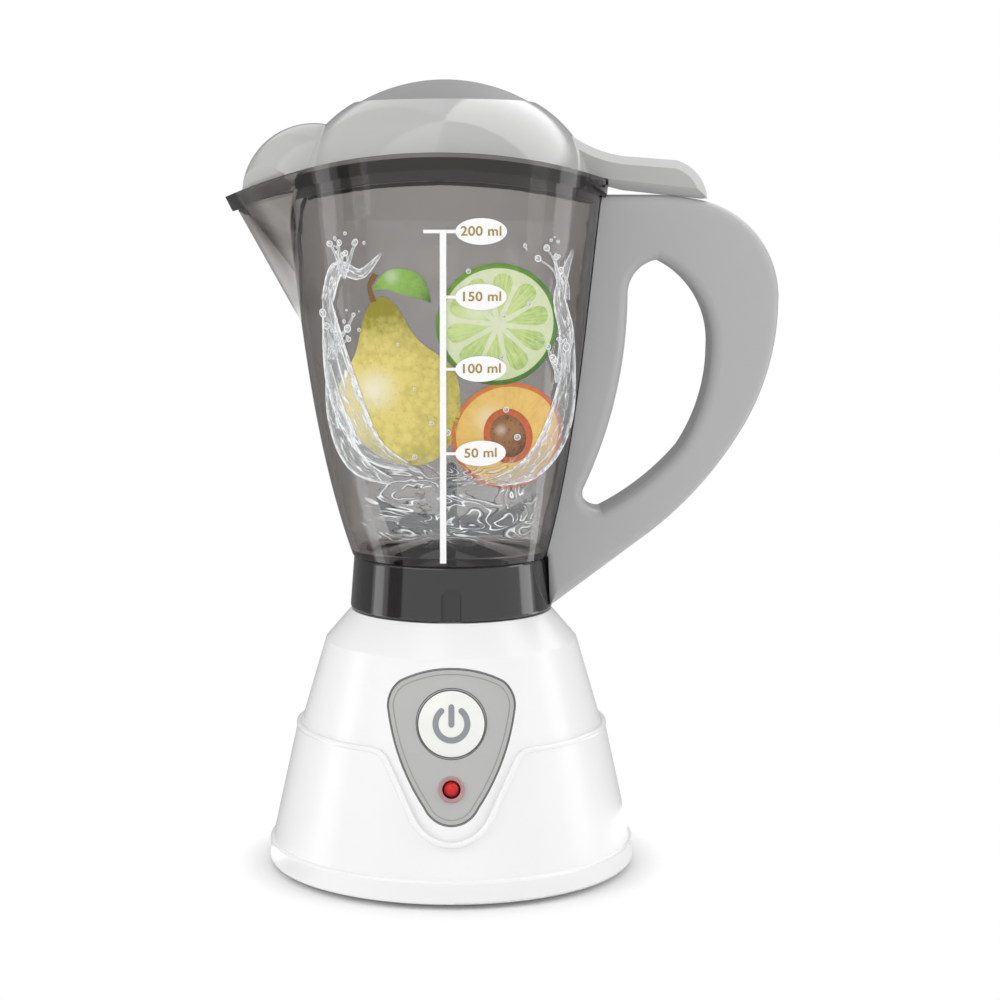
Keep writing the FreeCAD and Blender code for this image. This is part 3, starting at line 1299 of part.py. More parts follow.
# ------------------------------------------------------------------ blades
def wing_form(name, side):
    """Swept-up wing on one side of the hub, on an origin at the hub's underside."""
    low, top = S.wing_lift, S.wing_top - S.blade_hub_bottom
    hub_top = S.blade_hub_top - S.blade_hub_bottom
    corners = [
        (0, low),
        (side * S.wing_heel, low),
        (side * S.wing_reach, top),
        (side * S.wing_notch, hub_top + S.wing_dip, -side * S.wing_curve),
        (0, hub_top - S.wing_dip),
    ]
    wing = block_body(name, "XZ_Plane", corners, S.wing_thickness, midplane=True)
    spin(wing, (1, 0, 0), side * S.wing_pitch)
    return place(wing, 0, 0, S.blade_hub_bottom)


def make_blades():
    hub, post, low = S.blade_hub_radius, S.blade_post_radius, S.blade_hub_bottom
    core = turned_body("blade_core", [
        (0, low),
        (hub, low),
        (hub, S.blade_hub_top - post),
        (post, S.blade_hub_top + post, -2.6 * post),
        (post, S.blade_post_top - post),
        (0, S.blade_post_top, post),
    ])
    bore = cylinder("blade_bore", S.shaft_radius, low, S.blade_hub_top - post)
    whole = fuse("blade_whole", core, wing_form("wing_right", 1), wing_form("wing_left", -1))
    finished("blade", cut("blade_cut", whole, bore))
    finished("blade_shaft", cylinder("blade_shaft_form", S.shaft_radius, cup_roof, S.blade_hub_top - post))


# ------------------------------------------------------------------ handle
HANDLE_SCREWS = (
    (S.handle_mid_x, (S.opening_top_z + S.handle_top) / 2),
    ((S.handle_elbow_x + S.opening_elbow_x) / 2, (S.handle_elbow_z + S.opening_elbow_z) / 2),
    ((S.handle_knee_x + S.opening_low_x) / 2 - S.handle_half / 2,
     (S.handle_knee_z + S.opening_low_z) / 2 - S.handle_half / 2),
)


def handle_corners():
    return [
        (S.handle_foot_x, S.handle_foot_z),
        (S.handle_foot_x - S.jug_wall, S.collar_top),
        (S.jug_low_radius - S.handle_half, S.handle_top - S.rim_crown / 2),
        (S.jug_mid_radius - S.jug_wall, S.handle_top),
        (S.handle_mid_x, S.handle_top),
        (S.handle_brow_x, S.handle_brow_z, -S.handle_top_radius),
        (S.handle_reach, S.handle_reach_z, -S.handle_brow_radius),
        (S.handle_elbow_x, S.handle_elbow_z, -S.handle_grip_radius),
        (S.handle_knee_x, S.handle_knee_z, -S.handle_run_radius),
    ]


def opening_corners():
    return [
        (S.opening_side_x, S.opening_side_z, S.opening_side_radius),
        (S.opening_top_x, S.opening_top_z, -S.opening_top_radius),
        (S.opening_reach, S.opening_reach_z, -S.opening_brow_radius),
        (S.opening_elbow_x, S.opening_elbow_z, -S.opening_grip_radius),
        (S.opening_low_x, S.opening_low_z, -S.opening_run_radius),
        (S.opening_heel_x, S.opening_heel_z, -S.opening_low_radius),
    ]


def edges_on_plane(shape, y, wanted=lambda middle: True):
    """Names of the edges that lie in the plane at a given y and have their middles where wanted."""
    names = []
    for number, edge in enumerate(shape.Edges, start=1):
        places = [vertex.Point for vertex in edge.Vertexes] + [edge.CenterOfMass]
        if all(abs(spot.y - y) < 1e-4 for spot in places) and wanted(edge.CenterOfMass):
            names.append("Edge%d" % number)
    return names


def handle_half(name, side):
    """One moulded half of the handle: its outer edges are rounded."""
    body = block_body(name, "XZ_Plane", handle_corners(), S.handle_half, backwards=side > 0)
    hole = outline(new_sketch(body, name + "_opening", "XZ_Plane"), opening_corners())
    feature(body, "Pocket", name + "_finger_hole", hole, Length=S.handle_half, Reversed=side < 0)
    doc.recompute()
    tip = body.Tip
    rounding = body.newObject("PartDesign::Fillet", name + "_rounding")
    rounding.Base = (tip, edges_on_plane(tip.Shape, side * S.handle_half.value))
    bind(rounding, "Radius", S.handle_edge)
    return body


def make_handle():
    gap, lug = S.handle_gap, S.lug_half + S.handle_gap
    for label, side in (("handle_front", -1), ("handle_back", 1)):
        tools = [
            jug_cone(label + "_wall_gap", gap),
            common(label + "_lip_gap", jug_cone(label + "_lip_cone", S.lip_proud + gap),
                   above_rim(label + "_lip_floor", S.lip_height + gap)),
            cylinder(label + "_collar_gap", S.collar_radius + gap, 0, S.collar_top + gap),
        ]
        for name, x, z in (("upper", S.upper_lug_x, S.upper_lug_z),
                           ("lower", S.lower_lug_x, S.lower_lug_z)):
            tools.append(box("%s_%s_pocket" % (label, name), 0, x + gap, -lug, lug, z - gap,
                             z + S.lug_height + gap))
        for number, (x, z) in enumerate(HANDLE_SCREWS, start=1):
            tools.append(handle_bore("%s_screw_bore_%d" % (label, number), x, z, side))
        finished(label, cut(label + "_cut", handle_half(label + "_form", side), *tools))
    screws = []
    for number, (x, z) in enumerate(HANDLE_SCREWS, start=1):
        screw = screw_form("handle_screw_%d" % number, S.board_screw_radius, S.small_head_radius,
                           S.small_head_height, 0, S.handle_screw_length)
        screw.Placement = FreeCAD.Placement(FreeCAD.Vector(), FreeCAD.Rotation(FreeCAD.Vector(1, 0, 0), 90))
        screws.append(place(screw, x, S.handle_half - S.handle_screw_sink, z))
    finished("handle_screws", group("handle_screw_group", *screws))


def handle_bore(name, x, z, side):
    """Screw bore from the back half's sunk head into the front half."""
    gap = S.snug if side > 0 else as_size(0)
    head_y = S.handle_half - S.handle_screw_sink
    bore = cylinder(name + "_shank", S.board_screw_radius + gap, 0, S.handle_screw_length)
    head = cylinder(name + "_head", S.small_head_radius + S.snug, 0, S.handle_half)
    for rod, y in ((bore, head_y), (head, S.handle_half + head_y - S.small_head_height)):
        rod.setExpression("Placement.Base.z", None)
        rod.Placement = FreeCAD.Placement(FreeCAD.Vector(), FreeCAD.Rotation(FreeCAD.Vector(1, 0, 0), 90))
        place(rod, x, y, z)
    return fuse(name, bore, head) if side > 0 else bore


# ------------------------------------------------------------------ lid
def dome(name, inset, foot, roof):
    """The lid's dome as a solid, smaller by inset, from its foot up to its roof."""
    top = S.dome_top_radius - inset
    body = turned_body(name, [
        (0, roof),
        (top, roof),
        (S.dome_foot_radius - inset, S.dome_foot_z, -(S.dome_arc - inset)),
        (S.dome_foot_radius - inset, foot),
        (0, foot),
    ])
    return place(spin(body, (0, 0, 1), as_size(100)), S.lid_lean, 0, 0)


def hood(name, inset, form):
    """The spout cover as a solid: an egg shape trimmed to the inside of the spout."""
    egg = doc.addObject("Part::Ellipsoid", name + "_egg")
    for key, size in (("Radius1", S.hood_rise), ("Radius2", S.hood_length), ("Radius3", S.hood_width)):
        bind(egg, key, size - inset)
    egg.Angle1 = -90
    egg.Angle2 = 90
    egg.Angle3 = 360
    place(egg, S.hood_x, 0, S.hood_z)
    return common(name, egg, form)


def jug_form(name, grow):
    return fuse(name, jug_cone(name + "_cone", grow), spout_wedge(name + "_spout", grow))


def make_tab():
    corners = [
        (S.tab_root_x, S.tab_root_z),
        (S.tab_neck_x, S.tab_neck_z, S.tab_neck_radius),
        (S.tab_brow_x, S.tab_brow_z),
        (S.tab_end_x, S.tab_end_z, -S.tab_end_radius),
        (S.tab_under_x, S.tab_under_z),
        (S.tab_root_x, S.dome_foot_z),
    ]
    body = block_body("tab_form", "XZ_Plane", corners, 2 * S.tab_half, midplane=True)
    doc.recompute()
    tip = body.Tip
    bevel = body.newObject("PartDesign::Chamfer", "tab_bevel")
    side, root, foot, under = S.tab_half.value, S.tab_root_x.value, S.dome_foot_z.value, S.tab_under_x.value

    def outside(middle):
        return middle.x > under or middle.x > root + 1 and middle.z > foot

    names = edges_on_plane(tip.Shape, side, outside) + edges_on_plane(tip.Shape, -side, outside)
    bevel.Base = (tip, names)
    bind(bevel, "Size", S.tab_edge)
    rim = cut("tab_rim_gap", jug_cone("tab_rim_cone", S.lip_proud + S.lift_gap),
              above_rim("tab_rim_top", -S.lift_gap))
    return cut("tab_cut", body, rim)


def make_lid():
    wall, none = S.lid_wall, as_size(0)
    foot = S.dome_foot_z - S.skirt_depth * 2
    seat = S.cap_edge_z - S.cap_rebate
    outer_dome = common("dome_trimmed", dome("dome_outer", none, foot, S.cap_edge_z),
                        above_rim("dome_floor", S.dome_reach))
    fit = S.jug_wall + S.hood_gap
    outer_hood = common("hood_trimmed", hood("hood_outer", none, jug_form("hood_fit", -fit)),
                        above_rim("hood_floor", S.hood_reach))
    inner_dome = dome("dome_inner", wall, foot - wall, seat - wall)
    inner_hood = hood("hood_inner", wall, jug_form("hood_fit_inner", -(fit + wall)))
    rebate = cylinder("cap_seat", S.cap_radius + S.snug, seat, S.cap_crown_z, S.lid_lean)
    whole = fuse("lid_outer", fuse("lid_roof", outer_dome, outer_hood), make_tab())
    hollow = cut("lid_hollow", cut("lid_hollow_dome", whole, inner_dome), inner_hood)
    finished("lid_shell", cut("lid_cut", hollow, rebate))
    ring_form = common("skirt_low", jug_cone("skirt_cone", -(S.jug_wall + S.skirt_gap)),
                       above_rim("skirt_floor", S.skirt_depth))
    plug = cylinder("skirt_inside", S.dome_foot_radius, 0, S.cap_crown_z, S.lid_lean)
    egg = hood("skirt_hood", none, jug_form("skirt_hood_fit", -fit))
    tab_room = box("skirt_tab_room", 0, S.tab_end_x, -S.tab_half, S.tab_half, S.dome_foot_z - S.snug,
                   S.cap_crown_z)
    finished("lid_skirt", cut("skirt_cut", ring_form, above_rim("skirt_top", S.skirt_top_gap), plug, egg,
                              tab_room))
    crown = S.cap_crown_z - S.cap_edge_z
    radius = (S.cap_radius * S.cap_radius + crown * crown) / (2 * crown)
    cap = turned_body("cap_form_lid", [
        (0, seat),
        (S.cap_radius, seat),
        (S.cap_radius, S.cap_edge_z),
        (0, S.cap_crown_z, radius),
    ])
    finished("lid_cap", place(cap, S.lid_lean, 0, 0))


# ------------------------------------------------------------------ build, check and write
for make in (make_lower_shell, make_upper_shell, make_base_plate, make_battery_door, make_base_screws,
             make_feet,
             make_batteries, make_contacts, make_control_panel, make_button, make_lamp, make_circuit_board,
             make_motor, make_gear_carrier, make_bushes, make_gears, make_couplings, make_jug_body,
             make_jug_collar, make_jug_floor, make_film, make_blades, make_handle, make_lid):
    make()
doc.recompute()

for item in doc.Objects:
    if "Invalid" in item.State or "Error" in item.State:
        raise RuntimeError("object %s failed: %s" % (item.Name, item.State))
for label, item in PARTS:
    if item.Shape.isNull() or not item.Shape.isValid():
        raise RuntimeError("sub-part %s has no valid shape" % label)

os.makedirs("parts", exist_ok=True)
for label, item in PARTS:
    item.Shape.exportStep("parts/%s.step" % label)
    box_of = item.Shape.BoundBox
    print("%-20s solids %d volume %9.1f  x %6.1f..%6.1f  y %6.1f..%6.1f  z %6.1f..%6.1f" % (
        label, len(item.Shape.Solids), item.Shape.Volume, box_of.XMin, box_of.XMax,
        box_of.YMin, box_of.YMax, box_of.ZMin, box_of.ZMax))
print("%d pieces" % len(PARTS))
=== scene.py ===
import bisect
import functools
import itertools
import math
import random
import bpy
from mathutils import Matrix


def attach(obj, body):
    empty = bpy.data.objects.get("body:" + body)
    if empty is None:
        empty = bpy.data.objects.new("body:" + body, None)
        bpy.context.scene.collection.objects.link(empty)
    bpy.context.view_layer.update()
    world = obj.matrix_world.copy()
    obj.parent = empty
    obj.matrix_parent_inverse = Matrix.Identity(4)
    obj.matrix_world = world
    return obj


bl_info = {
    "name": "Toy blender finishes",
    "version": (1, 0, 0),
    "blender": (4, 5, 0),
    "location": "View3D > Sidebar > Toy Blender",
    "description": "Finishes, prints and stage of a battery toy blender",
    "category": "Object",
}

import bpy
from mathutils import Matrix, Vector

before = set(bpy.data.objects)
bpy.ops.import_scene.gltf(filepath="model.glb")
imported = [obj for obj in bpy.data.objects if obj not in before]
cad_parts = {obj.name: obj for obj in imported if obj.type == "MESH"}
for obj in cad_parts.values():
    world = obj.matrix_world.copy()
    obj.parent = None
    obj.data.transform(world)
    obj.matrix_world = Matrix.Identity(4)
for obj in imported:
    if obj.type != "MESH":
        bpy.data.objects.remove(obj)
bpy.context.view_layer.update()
MM = 0.001

# where the printed marks stand, in millimetres: x to the handle, z up from the ground
BUTTON_Z, SYMBOL_RISE, SYMBOL_BAR_TOP = 41.7, 0.1, 0.7
PRINT_START_Y = -60.0
SCALE_LINE_X = -1.9
SCALE_LINE_LOW, SCALE_LINE_HIGH = 78.2, 155.7
SCALE_CROSSBAR = (-6.3, 0.8)
SCALE_LABEL_X = 6.6
SCALE_LABELS = ((155.7, "200 ml"), (140.9, "150 ml"), (124.4, "100 ml"), (104.7, "50 ml"))
SCALE_TICK_END = 1.6
SCALE_CROSSBAR_WIDTH, SCALE_TICK_WIDTH = 0.8, 0.7
LETTER_HEIGHT, LETTER_WEIGHT = 3.0, 0.055
LETTER_WIDTH, LETTER_SPACE = 1.08, 1.04

# how far the printed water may reach
SPLASH_LEFT, SPLASH_RIGHT, STRAND_TOP, DROP_TOP = -29.6, 29.0, 156.5, 157.0

# the lower shell's cone and the notch for the panel in its upper edge
FOOT_Z, FOOT_RADIUS = 6.9, 45.0
SEAM_Z, SEAM_RADIUS = 35.0, 38.0
NOTCH_LOW, NOTCH_RADIUS, NOTCH_KNEE, NOTCH_HALF = 14.7, 10.5, 9.2, 16.6
LIP_SINK, LIP_INSET, LIP_CORNER = 0.4, 0.15, 1.6

# the studio's panels as a gloss shows them: from and to, in degrees round from the front towards the
# handle, and how much brighter than the white studio; low ones stand on the floor, high ones hang
LOW_CARDS = ((-98.0, -84.0, 1.3), (-77.0, -58.0, -0.75), (-181.0, -102.0, -0.6),
             (84.0, 102.0, 1.6), (106.0, 181.0, -0.5))
HIGH_CARDS = ((80.0, 170.0, 1.8), (-150.0, -100.0, -0.2), (-181.0, -150.0, 0.2), (-66.0, -8.0, 0.9))
CARD_BREAK = (20.0, 29.0)
RIGHT_CARD_BACK = 0.045

# the softboxes: name, place, width and height in metres, and share of the lamp power
LIGHTS = (("left_softbox", (-0.62, -0.32, 0.34), 0.22, 0.8, 1.15),
          ("right_softbox", (0.66, -0.22, 0.32), 0.2, 0.8, 1.0),
          ("top_softbox", (0.0, 0.05, 0.95), 0.7, 0.7, 1.1),
          ("front_fill", (0.15, -1.4, 0.5), 0.9, 0.6, 1.2))
LIGHTS_AIM = Vector((0.0, 0.0, 0.10))

# the panel's outline, clockwise from its upper left: a corner's x and z, and the radius that leads to it
PANEL_CORNERS = ((-12.0, 51.0, 7.5), (12.0, 51.0, 24.8), (15.0, 45.1, 7.5), (6.3, 22.7, 50.0),
                 (-6.3, 22.7, 7.0), (-15.0, 45.1, 50.0))
PANEL_TILT = math.radians(15)
BUTTON_RADIUS = 7.7
# painted shade lines: how far inside its outline each line lies, and its width
PANEL_JOINT_SHADOW, PANEL_GROOVE_SHADE, BUTTON_JOINT_SHADOW = (0.1, 0.2), (1.2, 0.25), (-0.62, 0.2)

# where a look begins and where it is full, in metres: the lamp's core, painted brighter, and its rim, painted
# darker (painted light and shade), the jug's spout and its keel, which falls away from the lip, the printed
# ripples, and the floor where it turns plain white
LAMP_Z, LAMP_PAINTED_RIM_SHADE = 0.0273, (0.0004, 0.0021)
SPOUT_X, SPOUT_FADE = -0.036, 0.004
KEEL_X, KEEL_Z, KEEL_SLOPE = -0.052, 0.162, 0.527
KEEL_FOOT = (0.134, 0.139)
# painted shade on the spout: where each darker painted tint begins and is full, nearer and nearer the keel,
# and the tint
KEEL_PAINTED_SHADES = (((0.0075, 0.003), (0.5, 0.49, 0.48)), ((0.0013, 0.0004), (0.33, 0.32, 0.31)))
RIPPLE_TOP, RIPPLE_FOOT, RIPPLE_SIDE = (0.106, 0.094), (0.0815, 0.087), (0.0225, 0.016)
FLOOR_PLAIN = (0.0445, 0.054)

# how far the first layer of the picture lies under the scale, the step from layer to layer as a share of the
# ink's thickness, and how far thin lines stand off the panel and the button, in metres
PICTURE_SINK, PICTURE_STEP, LINE_PROUD = 0.00028, 1.5, 0.00002


# ------------------------------------------------------------------ colours
def tone(code):
    """Linear colour of a six-digit sRGB code; another colour is given back as it is."""
    if not isinstance(code, str):
        return tuple(code)
    parts = [int(code[i:i + 2], 16) / 255 for i in (0, 2, 4)]
    return tuple(p / 12.92 if p <= 0.04045 else ((p + 0.055) / 1.055) ** 2.4 for p in parts)


def colour_setting(name, description, default):
    return bpy.props.FloatVectorProperty(name=name, description=description, default=tone(default),
                                         subtype="COLOR", size=3, min=0, max=1)


def number_setting(name, description, default, **limits):
    return bpy.props.FloatProperty(name=name, description=description, default=default, **limits)


def length_setting(name, description, default):
    return number_setting(name, description, default, unit="LENGTH", min=0)


class ToyBlenderSettings(bpy.types.PropertyGroup):
    """Colours, print sizes, camera and light of the toy blender; lengths in metres"""
    shell_colour: colour_setting("Shell Colour", "Gloss white of the base's two shells", "F3F3F3")
    panel_colour: colour_setting("Panel Colour", "Satin grey of the control panel", "B6B6B5")
    button_colour: colour_setting("Button Colour", "Gloss white of the push button", "F0F1EC")
    symbol_colour: colour_setting("Symbol Colour", "Grey of the power symbol on the button", "8E9297")
    handle_colour: colour_setting("Handle Colour", "Satin grey of the jug's handle", "B0B0B0")
    lid_colour: colour_setting("Lid Colour", "Pale gloss grey of the lid", "B3B3B2")
    cap_colour: colour_setting("Cap Colour", "Darker grey of the lid's cap", "8E8E8E")
    jug_tint: colour_setting("Jug Tint", "Tint of one wall of the jug at its surface", (0.85, 0.85, 0.85))
    jug_smoke: number_setting("Jug Smoke", "How much the jug's wall darkens with its thickness, per metre",
                              350.0, min=0)
    collar_colour: colour_setting("Collar Colour", "Near black of the jug's collar and floor", "2C2A2B")
    print_proud: length_setting("Print Height", "How far the jug's print stands off its wall", 0.00066)
    print_thickness: length_setting("Print Thickness", "Thickness of a printed layer", 0.00002)
    scale_line: length_setting("Scale Line", "Width of the upright line of the filling scale", 0.00145)
    label_width: length_setting("Label Width", "Width of an oval label of the scale", 0.0115)
    label_height: length_setting("Label Height", "Height of an oval label of the scale", 0.0060)
    symbol_radius: length_setting("Symbol Radius", "Outer radius of the power symbol", 0.0044)
    symbol_line: length_setting("Symbol Line", "Width of the power symbol's lines", 0.0014)
    symbol_gap: number_setting("Symbol Gap", "Half of the angle left open at the top of the power symbol",
                               math.radians(39), subtype="ANGLE", min=0)
    lip_radius: length_setting("Lip Radius", "Radius of the rolled lip along the lower shell's edge", 0.00075)
    lens: number_setting("Lens", "Focal length of the camera in millimetres on a 36 mm sensor", 82.44, min=10)
    side_shift: number_setting("Side Shift", "How far the camera's frame is shifted to the side", 0.0486)
    camera_distance: number_setting("Camera Distance", "Distance of the camera in front of the jug's axis",
                                    0.5578, unit="LENGTH", min=0.1)
    camera_height: length_setting("Camera Height", "Height of the camera over the floor", 0.15845)
    look_down: number_setting("Look Down", "Angle by which the camera looks down",
                              math.radians(7.0), subtype="ANGLE")
    lamp_power: number_setting("Lamp Power", "Power of the two side softboxes", 1.6, unit="POWER", min=0)
    surround: number_setting("Surround", "Strength of the even light from all around", 0.62, min=0)


# ------------------------------------------------------------------ shader nodes
GROUPS = {}


class Wire:
    """A node's output; each sum that is written with it adds a Math node."""

    def __init__(self, net, socket):
        self.net, self.socket = net, socket

    def maths(self, operation, *others):
        return self.net.wire("Math", self, *others, operation=operation)

    def __rsub__(self, other):
        return self.net.wire("Math", other, self, operation="SUBTRACT")

    __add__ = functools.partialmethod(maths, "ADD")
    __sub__ = functools.partialmethod(maths, "SUBTRACT")
    __mul__ = functools.partialmethod(maths, "MULTIPLY")
    __truediv__ = functools.partialmethod(maths, "DIVIDE")
    __pow__ = functools.partialmethod(maths, "POWER")
    __abs__ = functools.partialmethod(maths, "ABSOLUTE")
    highest = functools.partialmethod(maths, "MAXIMUM")

    def step(self, low, high):
        """Smoothly from 0 at low to 1 at high."""
        return self.net.wire("MapRange", self, low, high, interpolation_type="SMOOTHSTEP")


class Net:
    """A node tree, with short ways to add nodes to it."""

    def __init__(self, tree):
        self.tree = tree

    def give(self, value, target):
        """Puts a number, a colour or another node's output on an input."""
        source = getattr(value, "socket", value)
        if isinstance(source, bpy.types.NodeSocket):
            self.tree.links.new(source, target)
        else:
            target.default_value = (*tone(value), 1.0) if target.type == "RGBA" else value

    def fill(self, node, *values, **named):
        """Fills inputs in order and by name, or else settings by name; an underscore stands for a space."""
        for target, value in zip(node.inputs, values):
            self.give(value, target)
        for key, value in named.items():
            label = key.replace("_", " ")
            if label in node.inputs:
                self.give(value, node.inputs[label])
            else:
                setattr(node, key, value)
        return node

    def node(self, kind, *values, **named):
        return self.fill(self.tree.nodes.new("ShaderNode" + kind), *values, **named)

    def wire(self, kind, *values, out=0, **named):
        return Wire(self, self.node(kind, *values, **named).outputs[out])

    def surface(self, **named):
        """Fills the material's own shader and gives its output."""
        return self.fill(self.tree.nodes["Principled BSDF"], **named).outputs[0]

    def place(self, kind="Object"):
        return self.wire("TexCoord", out=kind)

    def apart(self, vector):
        """The x, y and z of a vector."""
        return [Wire(self, socket) for socket in self.node("SeparateXYZ", vector).outputs]

    def mixed(self, share, first, second):
        """Colour between two colours by a share from 0 to 1."""
        node = self.node("Mix", share, data_type="RGBA")
        self.give(first, node.inputs[6])
        self.give(second, node.inputs[7])
        return Wire(self, node.outputs[2])

    def noise(self, place, scale, detail=2.0, roughness=0.5, distortion=0.0):
        return self.wire("TexNoise", out="Fac", Vector=place, Scale=scale, Detail=detail,
                         Roughness=roughness, Distortion=distortion)

    def ray(self, kind):
        """1 for a ray of one kind."""
        return self.wire("LightPath", out="Is %s Ray" % kind)


def length(across, along):
    """Length of a line that goes so far across and along."""
    return (across ** 2.0 + along ** 2.0).maths("SQRT")


def new_group(name, outputs, **inputs):
    """Empty shader group of inputs with their defaults: its net, a wire of each input, its output node."""
    group = bpy.data.node_groups.new(name, "ShaderNodeTree")
    for label, default in inputs.items():
        kind = {float: "Float", tuple: "Color", Vector: "Vector"}[type(default)]
        socket = group.interface.new_socket(label.replace("_", " "), in_out="INPUT",
                                            socket_type="NodeSocket" + kind)
        socket.default_value = (*default, 1.0) if kind == "Color" else default
    for label, kind in outputs.items():
        group.interface.new_socket(label, in_out="OUTPUT", socket_type="NodeSocket" + kind)
    net = Net(group)
    given = group.nodes.new("NodeGroupInput").outputs
    return net, [Wire(net, socket) for socket, _ in zip(given, inputs)], group.nodes.new("NodeGroupOutput")


def moulded_group():
    """Moulded plastic: slow colour drift, uneven gloss, faint sink marks and a fine grain."""
    net, (colour, drift, gloss, spread, grain_scale, grain, sink), out = new_group(
        "moulded_surface", {"Color": "Color", "Roughness": "Float", "Normal": "Vector"},
        Color=(0.8, 0.8, 0.8), Drift=0.03, Gloss=0.25, Gloss_Spread=0.05, Grain_Scale=1800.0,
        Grain=0.02, Sink=0.05)
    place = net.place()
    slow = net.noise(place, 28.0, 2.0, 0.45)
    cloud = net.noise(place, 210.0, 3.0, 0.55)
    relief = net.wire("Bump", Distance=0.0006, Strength=sink, Height=slow)
    net.fill(out, Color=net.wire("HueSaturation", Color=colour, Value=(slow - 0.5) * drift + 1.0),
             Roughness=gloss + (cloud - 0.5) * spread,
             Normal=net.wire("Bump", Distance=0.00008, Strength=grain, Normal=relief,
                             Height=net.noise(place, grain_scale)))
    return net.tree


def printed_group():
    """Printed fruit: lit from the upper left, darker rim, mottling, speckles, and streaks that run out."""
    net, given, out = new_group(
        "printed_shade", {"Color": "Color"},
        Middle=Vector((0.0, 0.0, 0.0)), Reach=0.015, Light=(1.0, 1.0, 1.0), Dark=(0.5, 0.5, 0.5), Speckle=0.1,
        Speckle_Scale=900.0, Streak=0.0, Rim=0.4, Lean=0.5, Mottle=0.0, Shine=0.0)
    middle, reach, light, dark, speckle, speckle_scale, streak, rim, lean, mottle, shine = given
    place = net.place()
    x, _, z = net.apart(place)
    middle_x, _, middle_z = net.apart(middle)
    side, up = (x - middle_x) / reach, (z - middle_z) / reach
    away = length(side, up)
    polar = net.wire("CombineXYZ", up.maths("ARCTAN2", side) * 9.0, away * 1.2)
    rays = (net.noise(polar, 2.4, 3.0, 0.6) - 0.5) * streak
    dots = net.wire("TexVoronoi", Scale=speckle_scale, Vector=place).step(0.35, 0.1) * speckle
    dimples = net.wire("TexVoronoi", Scale=620.0, Vector=place) * 0.45
    patches = (net.noise(place, 190.0, 4.0, 0.6) + dimples - 0.68) * mottle
    share = away ** 3.0 * rim + (side - up) * (lean * 0.5) + rays + dots + patches
    spot = length(side + 0.34, up - 0.3).step(0.42, 0.0) * shine
    net.fill(out, Color=net.mixed(spot, net.mixed(share, light, dark), (1.0, 0.99, 0.93)))
    return net.tree


def new_material(name):
    material = bpy.data.materials.new(name)
    material.use_nodes = True
    return material, Net(material.node_tree)


def moulded(name, colour, gloss, drift=0.03, spread=0.05, grain_scale=1800.0, grain=0.02, sink=0.05,
            coat=0.0):
    """Solid moulded plastic or rubber."""
    material, net = new_material(name)
    made = net.node("Group", node_tree=GROUPS["moulded"], Color=colour, Drift=drift, Gloss=gloss,
                    Gloss_Spread=spread, Grain_Scale=grain_scale, Grain=grain, Sink=sink).outputs
    net.surface(Base_Color=made["Color"], Roughness=made["Roughness"], Normal=made["Normal"],
                Coat_Weight=coat, Coat_Roughness=0.05)
    return material


def metal(name, colour, gloss, grain_scale=2400.0, grain=0.05):
    material = moulded(name, colour, gloss, 0.06, 0.12, grain_scale, grain, 0.02)
    Net(material.node_tree).surface(Metallic=1.0)
    return material


def smoked(name, colour, body, density):
    """Clear tinted plastic, darker where it is looked at along the wall; lamps shine through it. The
    spout's keel and its outer edge, where the wall is thin, are painted darker: painted shade in the tint."""
    material, net = new_material(name)
    x, _, z = net.apart(net.place())
    tint = net.wire("HueSaturation", Value=net.noise(net.place(), 22.0) * 0.06 + 0.97, Color=colour)
    inward = (z - KEEL_Z) * KEEL_SLOPE + (x - KEEL_X)
    above = z.step(*KEEL_FOOT)
    # painted shade: the tint is painted darker towards the spout's keel, darkest along it
    for ends, painted_darker_tint in KEEL_PAINTED_SHADES:
        tint = net.mixed(inward.step(*ends) * above, tint, painted_darker_tint)
    off_spout = x.step(SPOUT_X - SPOUT_FADE, SPOUT_X)
    surface = net.surface(Base_Color=tint, Roughness=0.02, Transmission_Weight=1.0, IOR=1.3,
                          Coat_Weight=off_spout * 0.6, Coat_IOR=1.5, Coat_Roughness=0.03)
    clear = net.wire("BsdfTransparent", Color=(0.92, 0.92, 0.92))
    lamps = net.ray("Shadow").highest(net.ray("Diffuse"))
    net.fill(net.tree.nodes["Material Output"], Surface=net.wire("MixShader", lamps, surface, clear),
             Volume=net.wire("VolumeAbsorption", Color=body, Density=density))
    return material


def clear_film(name):
    """Thin clear sheet with a faint sheen, which hardly shows but for what is printed on it."""
    material, net = new_material(name)
    cloud = net.noise(net.place(), 120.0, 3.0)
    net.surface(Base_Color=(0.9, 0.92, 0.93), Roughness=cloud * 0.1 + 0.1, Alpha=cloud * 0.04)
    return material


def ink(name, colour, dark=None, middle=(0.0, 0.0), reach=15.0, speckle=0.06, speckle_scale=900.0,
        streak=0.0, rim=0.0, lean=0.0, mottle=0.0, shine=0.0, alpha=1.0, gloss=0.3):
    """Printing ink; with a second colour it shades from one to the other about a middle."""
    material, net = new_material(name)
    dark = dark or tuple(c * 0.86 for c in tone(colour))
    shade = net.wire("Group", node_tree=GROUPS["printed"], Light=colour, Dark=dark, Reach=reach * MM,
                     Middle=Vector((middle[0], 0.0, middle[1])) * MM, Speckle=speckle,
                     Speckle_Scale=speckle_scale, Streak=streak, Rim=rim, Lean=lean, Mottle=mottle,
                     Shine=shine)
    net.surface(Base_Color=shade, Roughness=net.noise(net.place(), 500.0) * 0.1 + (gloss - 0.05))
    if alpha < 1.0:
        net.surface(Alpha=net.noise(net.place(), 140.0, 3.0) * 0.16 + (alpha - 0.08))
    return material


def white_water(name, cover):
    """White ink that lets the jug show where the printed water is clear."""
    material, net = new_material(name)
    net.surface(Base_Color=net.mixed(net.noise(net.place(), 420.0, 3.0), "DCE1E4", "FFFFFF"),
                Alpha=cover(net), Roughness=0.25)
    return material


